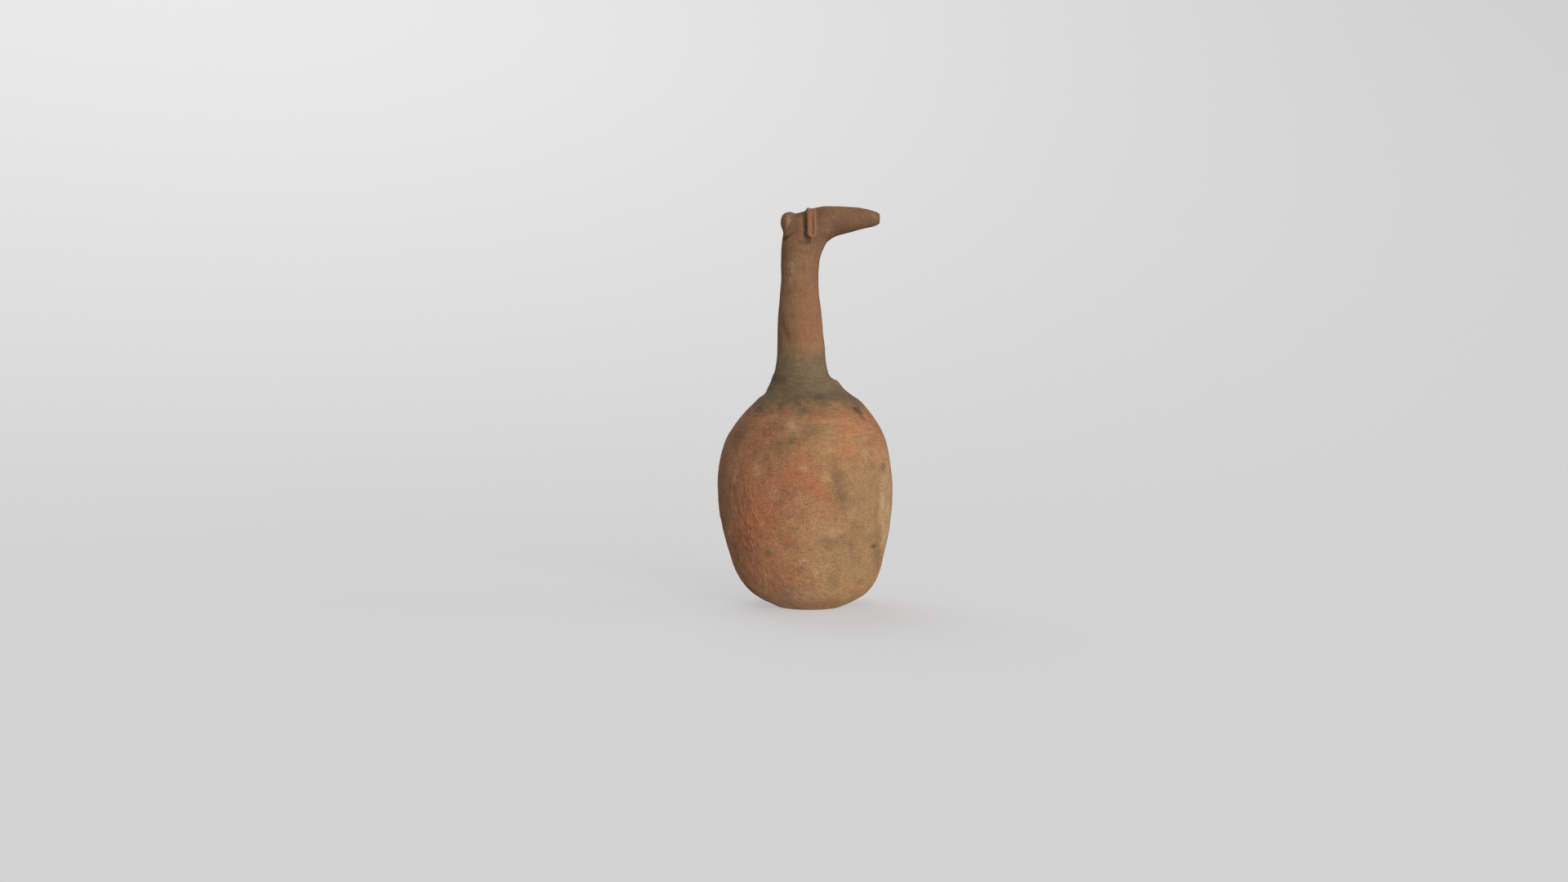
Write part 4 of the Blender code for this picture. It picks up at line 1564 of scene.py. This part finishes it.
@dataclass
class Band:
    """Rows of places round the vase that have the same number of columns."""

    points: Array
    normals: Array
    wrap: Array  # the places rolled out as on a post, which the strokes follow
    marks: dict[str, Array] = field(default_factory=dict)  # what the material reads, by attribute name

    def mark(self, name: str) -> Array:
        """The attribute's number for each place, or 0 where the band has none."""
        return self.marks.get(name, np.zeros(self.points.shape[:2])).ravel()

    def thinned(self, rows: slice, step: int) -> "Band":
        """Some of its rows, with one column in so many.

        Args:
            rows: The rows to keep.
            step: Keeps every column whose number divides by this.

        Returns:
            The smaller band.
        """
        marks = {name: values[rows, ::step] for name, values in self.marks.items()}
        points, normals, wrap = (part[rows, ::step] for part in (self.points, self.normals, self.wrap))
        return Band(points, normals, wrap, marks)


def band_faces(index: Array) -> list[Array]:
    """Four-sided faces between the rows of a band.

    Args:
        index: Vertex numbers in rows and columns.

    Returns:
        The faces, as one array of four numbers each.
    """
    after = np.roll(index, -1, axis=1)
    return [np.stack([index[:-1], after[:-1], after[1:], index[1:]], axis=-1).reshape(-1, 4)]


def stitch_faces(low: Array, high: Array) -> list[Array]:
    """Triangles between two rows of which one has a whole number of times the columns of the other: a
    fan from each coarse vertex over half the fine edges to each side of it, and one over the coarse edge.

    Args:
        low: Vertex numbers of the row that comes first along the vase.
        high: Those of the row after it.

    Returns:
        The faces, as arrays of three numbers each.
    """
    flipped = len(low) < len(high)
    fine, coarse = (high, low) if flipped else (low, high)
    ratio = len(fine) // len(coarse)
    half = ratio // 2
    after = np.roll(coarse, -1)
    steps = [np.roll(fine, -k)[::ratio] for k in range(ratio + 1)]
    faces = [np.stack([steps[k], steps[k + 1], coarse], axis=-1) for k in range(half)]
    faces += [np.stack([steps[k], steps[k + 1], after], axis=-1) for k in range(half, ratio)]
    faces.append(np.stack([steps[half], after, coarse], axis=-1))
    return [face[:, ::-1] for face in faces] if flipped else faces


@dataclass
class ClayVase:
    """The vase: one closed skin of fired clay, outside and inside, that stands for the solid."""

    form: VaseForm = VaseForm()
    knob: NapeKnob = NapeKnob()
    ear: EarRoll = EarRoll()
    modelling: HandModelling = HandModelling()
    relief: ClayRelief = ClayRelief()
    stains: StainMap = StainMap()
    clay: FiredClay = FiredClay()
    eye: Eye = Eye()
    columns: int = 288
    near_share: float = 0.2  # how much closer the columns stand on the near side
    outside_rows: Counts = (144, 52, 150)
    inside_rows: Counts = (24, 12, 26)
    lip_rows: int = 5
    neck_step: int = 2
    ear_crowding: float = 0.45  # how much closer the rows of the head stand at the ears
    ear_place: float = 0.3  # share of the head's rows
    inside_step: int = 8
    foot_rings: tuple[tuple[float, int], ...] = ((0.12, 16), (0.3, 8), (0.55, 4), (0.8, 2))
    wrap_radius: float = 60.0
    wiped_levels: Numbers = (112.0, 146.0, 192.0, 204.0)
    # Painted shade in the hollows and wear on the crests, from the relief less a softened copy of itself
    wear_and_hollow_shade_passes: tuple[int, int] = (12, 50)  # in the body, and in the neck and head
    wear_and_hollow_shade_depth: Pair = (0.6, 0.55)
    wear_and_hollow_shade_change: float = 20.0  # how far up the neck the second pair takes over
    inside_painted_shade: float = -0.5  # painted shade: the inside is darker, as a hollow is
    foot_lift: float = 0.35
    foot_cell: float = 9.0
    fleck_facing: float = 0.05  # the least cosine towards the camera where a fleck may lie
    sharp_from: float = 55.0  # degrees

    def turns(self, step: int = 1) -> Array:
        """Angles round the vase: even steps t, moved to t - share cos t, so more lie on the near side.

        Args:
            step: Keeps every angle whose number divides by this.

        Returns:
            The angles.
        """
        even = np.arange(0, self.columns, step) * 2 * np.pi / self.columns
        return even - self.near_share * np.cos(even)

    def outside(self) -> Band:
        """The whole outside, foot to lip: the bare form, then the knob, the ears, and the relief."""
        sections, along, _ = self.form.outside(self.outside_rows, self.ear_crowding, self.ear_place)
        sections = np.vstack([sections, self.form.lip_sections(self.lip_rows)])
        lip_length = self.form.lip * np.pi / 2
        along = np.concatenate([along, along[-1] + np.linspace(0, lip_length, self.lip_rows + 1)[1:]])
        turns = self.turns()
        points = self.form.carried(sections, turns)
        normals = grid_normals(points)
        middle = self.knob.middle(self.form, sections)
        points = points + normals * self.knob.stand_out(points, normals, middle)[..., None]
        normals = grid_normals(points)
        shaped = self.ear.height(points) + self.modelling.height(points)
        points = points + normals * shaped[..., None]
        normals = grid_normals(points)
        height = self.relief.height(self.eye.view(points, normals), turns, along)
        points = self.held_in_box(points + normals * height[..., None])
        # Where the relief lies below its softened copy the colour gets painted shade, and where it stands
        # above it, wear
        wear_and_hollow_shade = [
            crests_and_hollows(shaped + height, passes) / depth
            for passes, depth in zip(self.wear_and_hollow_shade_passes, self.wear_and_hollow_shade_depth)
        ]
        neck_root = self.form.body_height
        above = smooth_step(neck_root, neck_root + self.wear_and_hollow_shade_change, points[..., 2])
        marks = {
            "wear_and_hollow_shade": np.clip(wear_and_hollow_shade[0] * (1 - above) + wear_and_hollow_shade[1] * above, -1.0, 1.0),
            "wiped": window(self.wiped_levels, points[..., 2]),
            "scraped": self.relief.scraped(points, turns),
        }
        wrap = self.relief.rolled_out(turns, along, self.wrap_radius)
        return Band(points, grid_normals(points), wrap, marks)

    def held_in_box(self, points: Array) -> Array:
        """Keeps every place inside the box of the solid that the vase stands for, and above the floor."""
        low, high = (np.array(corner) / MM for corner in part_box(CAD_NODE))
        return np.clip(points, low, high)

    def foot(self, edge: Array) -> list[Band]:
        """Rings of the flat under the vase, from the middle out. Each is the foot's edge drawn in.

        Args:
            edge: The places of the foot's edge.

        Returns:
            The rings, as bands of one row.
        """
        middle = edge.mean(axis=0)
        rings = []
        for share, step in self.foot_rings:
            points = middle + (edge[None, ::step] - middle) * share
            seed = self.relief.seed + self.relief.foot_step
            lifted = np.maximum(Noise(seed).at(points, self.foot_cell), 0.0)
            points[..., 2] = self.foot_lift * lifted * (1 - share)
            rings.append(Band(points, np.broadcast_to((0.0, 0.0, -1.0), points.shape), points))
        return rings

    def bands(self) -> list[Band]:
        """All bands of the skin, from the middle of the foot up the outside and down the inside."""
        outside = self.outside()
        body_rows = self.outside_rows[0]
        body = outside.thinned(slice(0, body_rows), 1)
        above = outside.thinned(slice(body_rows, None), self.neck_step)
        points = self.form.carried(self.form.inside(self.inside_rows), self.turns(self.inside_step))
        # The inside gets painted shade, as a hollow does.
        marks = {"wear_and_hollow_shade": np.full(points.shape[:-1], self.inside_painted_shade)}
        inside = Band(points, -grid_normals(points), points, marks)
        return [*self.foot(body.points[0]), body, above, inside]

    def build(self) -> bpy.types.Object:
        """The vase's mesh, with the attributes that its material reads."""
        bands = self.bands()
        sizes = [band.points.shape[:2] for band in bands]
        starts = np.cumsum([0] + [rows * columns for rows, columns in sizes])
        index = [start + np.arange(np.prod(size)).reshape(size) for start, size in zip(starts, sizes)]
        faces = [face for part in index for face in band_faces(part)]
        for low, high in zip(index[:-1], index[1:]):
            faces += stitch_faces(low[-1], high[0])
        faces += [index[0][:1, ::-1], index[-1][-1:]]
        points = np.vstack([band.points.reshape(-1, 3) for band in bands])
        normals = np.vstack([band.normals.reshape(-1, 3) for band in bands])
        mesh = self.mesh_of("clay_vase_surface", points, faces)
        view = self.eye.view(points, normals)
        numbers = {tint.value: mask for tint, mask in self.stains.masks(view).items()}
        for name in ("wear_and_hollow_shade", "wiped", "scraped"):
            numbers[name] = np.concatenate([band.mark(name) for band in bands])
        for name, values in numbers.items():
            held = mesh.attributes.new(name, "FLOAT", "POINT")
            held.data.foreach_set("value", values.astype(np.float32))
        wrap = np.vstack([band.wrap.reshape(-1, 3) for band in bands]) * MM
        held = mesh.attributes.new("wrap", "FLOAT_VECTOR", "POINT")
        held.data.foreach_set("vector", wrap.astype(np.float32).ravel())
        made = placed_object("clay_vase_surface", mesh)
        paint = bpy.data.materials.new("fired_clay_surface")
        paint.use_nodes = True
        shader = paint.node_tree.nodes["Principled BSDF"]
        ClayBench(self.clay, paint.node_tree).dress(shader, self.placed_flecks(view))
        mesh.materials.append(paint)
        log.info("%s: %d vertices, %d triangles", made.name, len(points), len(mesh.loop_triangles))
        return made

    def mesh_of(self, name: str, points: Array, faces: list[Array]) -> bpy.types.Mesh:
        """A smooth-shaded mesh.

        Args:
            name: Its name.
            points: Places in millimetres.
            faces: Arrays of vertex numbers, one face a row.

        Returns:
            The mesh, in metres.
        """
        totals = np.concatenate([np.full(len(face), face.shape[1]) for face in faces])
        loops = np.concatenate([face.ravel() for face in faces])
        mesh = bpy.data.meshes.new(name)
        mesh.vertices.add(len(points))
        mesh.vertices.foreach_set("co", (points * MM).astype(np.float32).ravel())
        mesh.loops.add(len(loops))
        mesh.loops.foreach_set("vertex_index", loops.astype(np.int32))
        mesh.polygons.add(len(totals))
        starts = np.concatenate([[0], np.cumsum(totals)[:-1]])
        mesh.polygons.foreach_set("loop_start", starts.astype(np.int32))
        mesh.update(calc_edges=True)
        mesh.validate()
        mesh.shade_smooth()
        mesh.set_sharp_from_angle(angle=np.radians(self.sharp_from))
        mesh.calc_loop_triangles()
        return mesh

    def placed_flecks(self, view: View) -> list[PlacedFleck]:
        """Puts each fleck on the near side's vertex that the camera sees closest to its place.

        Args:
            view: The skin as the camera sees it.

        Returns:
            The flecks on the clay.
        """
        placed = []
        for fleck in FLECKS:
            gap = np.hypot(view.across - fleck.across, view.up - fleck.up)
            nearest = np.argmin(np.where(view.facing > self.fleck_facing, gap, np.inf))
            out = Vector(view.normals[nearest])
            turn = np.radians(fleck.turn)
            way = Vector((np.cos(turn), 0.0, np.sin(turn)))
            side = out.cross(way).normalized()
            along = side.cross(out).normalized()
            axes = Matrix((along, side, out)).transposed()
            placed.append(PlacedFleck(fleck, Vector(view.points[nearest]), axes))
        return placed

    def dress(self) -> bpy.types.Object:
        """Builds the vase, gives it to the solid's body, and hides the solid's own part."""
        made = self.build()
        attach(made, BODY)
        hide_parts(CAD_NODE)
        return made


@dataclass
class Studio:
    """A pale seamless bowl, soft light and the camera at the photograph's viewing angle."""

    flat_radius: float = 900.0
    bowl_radius: float = 6000.0
    bowl_height: float = 3050.0
    bend_rings: int = 40
    below_foot: float = 0.05
    columns: int = 128
    stage_colour: Colour = (0.36, 0.36, 0.365, 1.0)
    stage_roughness: float = 0.95
    stage_glow: float = 0.42
    world_colour: Colour = (1.0, 1.0, 1.0, 1.0)
    world_strength: float = 0.29
    lens_width: float = 36.0
    clip: Pair = (10.0, 20000.0)  # nearest and farthest distance that the camera shows

    # Name, degrees round from the front towards the right, degrees up, degrees wide, and strength
    lamps: tuple[tuple[str, float, float, float, float], ...] = (
        ("front_lamp", 27.0, 7.0, 44.0, 2.15),
        ("side_lamp", 85.0, 6.0, 40.0, 0.75),
        ("back_lamp", 205.0, 55.0, 50.0, 0.8),
    )
    fill_place: Triple = (100.0, -1700.0, -350.0)
    fill_size: Pair = (1500.0, 300.0)
    fill_watts: float = 4.5

    def stage(self) -> bpy.types.Object:
        """The floor, which bends up into a wall all round: a quarter of an ellipse turned about Z, so its
        radius grows with the sine of the bend, and its height with one less the cosine.
        """
        bend = np.linspace(0.0, np.pi / 2, self.bend_rings)
        radii = self.flat_radius + (self.bowl_radius - self.flat_radius) * np.sin(bend)
        heights = self.bowl_height * (1 - np.cos(bend))
        turns = np.arange(self.columns) * 2 * np.pi / self.columns
        rings = radii[:, None, None] * np.stack([np.cos(turns), np.sin(turns), 0 * turns], axis=-1)
        rings[..., 2] = heights[:, None] - self.below_foot
        points = np.vstack([[(0.0, 0.0, -self.below_foot)], rings.reshape(-1, 3)]) * MM
        index = 1 + np.arange(len(points) - 1).reshape(-1, self.columns)
        quads = band_faces(index)[0][:, ::-1]
        fan = np.stack([np.zeros_like(index[0]), index[0], np.roll(index[0], -1)], axis=-1)
        mesh = bpy.data.meshes.new("studio_stage")
        mesh.from_pydata(points.tolist(), [], quads.tolist() + fan.tolist())
        mesh.shade_smooth()
        made = placed_object("studio_stage", mesh)
        made.visible_diffuse = False  # it is bright to look at, and yet throws no light back on the vase
        made.visible_glossy = False
        made.visible_shadow = False
        paint = bpy.data.materials.new("stage_paint")
        paint.use_nodes = True
        shader = paint.node_tree.nodes["Principled BSDF"]
        shader.inputs["Base Color"].default_value = self.stage_colour
        shader.inputs["Roughness"].default_value = self.stage_roughness
        shader.inputs["Specular IOR Level"].default_value = 0.0
        shader.inputs["Emission Color"].default_value = self.world_colour
        shader.inputs["Emission Strength"].default_value = self.stage_glow
        mesh.materials.append(paint)
        return made

    def light(self) -> None:
        """Broad lamps, far enough away to light the whole stage alike, a low panel in front for the
        round of the bottom, and light from all round.
        """
        for name, round_degrees, up_degrees, width, strength in self.lamps:
            lamp = bpy.data.lights.new(name, "SUN")
            lamp.angle = np.radians(width)
            lamp.energy = strength
            turn = (np.radians(90 - up_degrees), 0.0, np.radians(round_degrees))
            placed_object(name, lamp).rotation_euler = turn
        panel = bpy.data.lights.new("fill_lamp", "AREA")
        panel.shape = "RECTANGLE"
        panel.size, panel.size_y = (length * MM for length in self.fill_size)
        panel.energy = self.fill_watts
        made = placed_object("fill_lamp", panel)
        made.location = Vector(self.fill_place) * MM
        made.rotation_euler = (np.pi / 2, 0.0, 0.0)
        made.visible_camera = False
        world = bpy.data.worlds.new("even_light")
        world.use_nodes = True
        sky = world.node_tree.nodes["Background"]
        sky.inputs["Color"].default_value = self.world_colour
        sky.inputs["Strength"].default_value = self.world_strength
        bpy.context.scene.world = world
        bpy.context.scene.view_settings.view_transform = "Standard"

    def camera(self, eye: Eye) -> bpy.types.Object:
        """The camera, level and square to the plane through the vase's axis.

        Args:
            eye: Its place and focal length.

        Returns:
            The camera.
        """
        lens = bpy.data.cameras.new("camera")
        lens.sensor_width = self.lens_width
        lens.lens = self.lens_width * eye.focal_pixels / eye.picture_width
        lens.clip_start, lens.clip_end = (distance * MM for distance in self.clip)
        made = placed_object("camera", lens)
        made.location = Vector(eye.place) * MM
        made.rotation_euler = (np.pi / 2, 0.0, 0.0)
        bpy.context.scene.camera = made
        return made

    def set_up(self, eye: Eye) -> None:
        """Makes the stage, the light and the camera.

        Args:
            eye: The camera's place and focal length.
        """
        log.info("%s: %d faces", self.stage().name, len(bpy.data.meshes["studio_stage"].polygons))
        self.light()
        log.info("%s at %s", self.camera(eye).name, eye.place)


def main() -> None:
    """Builds the vase and its studio."""
    vase = ClayVase()
    vase.dress()
    Studio().set_up(vase.eye)


if __name__ == "__main__":
    main()
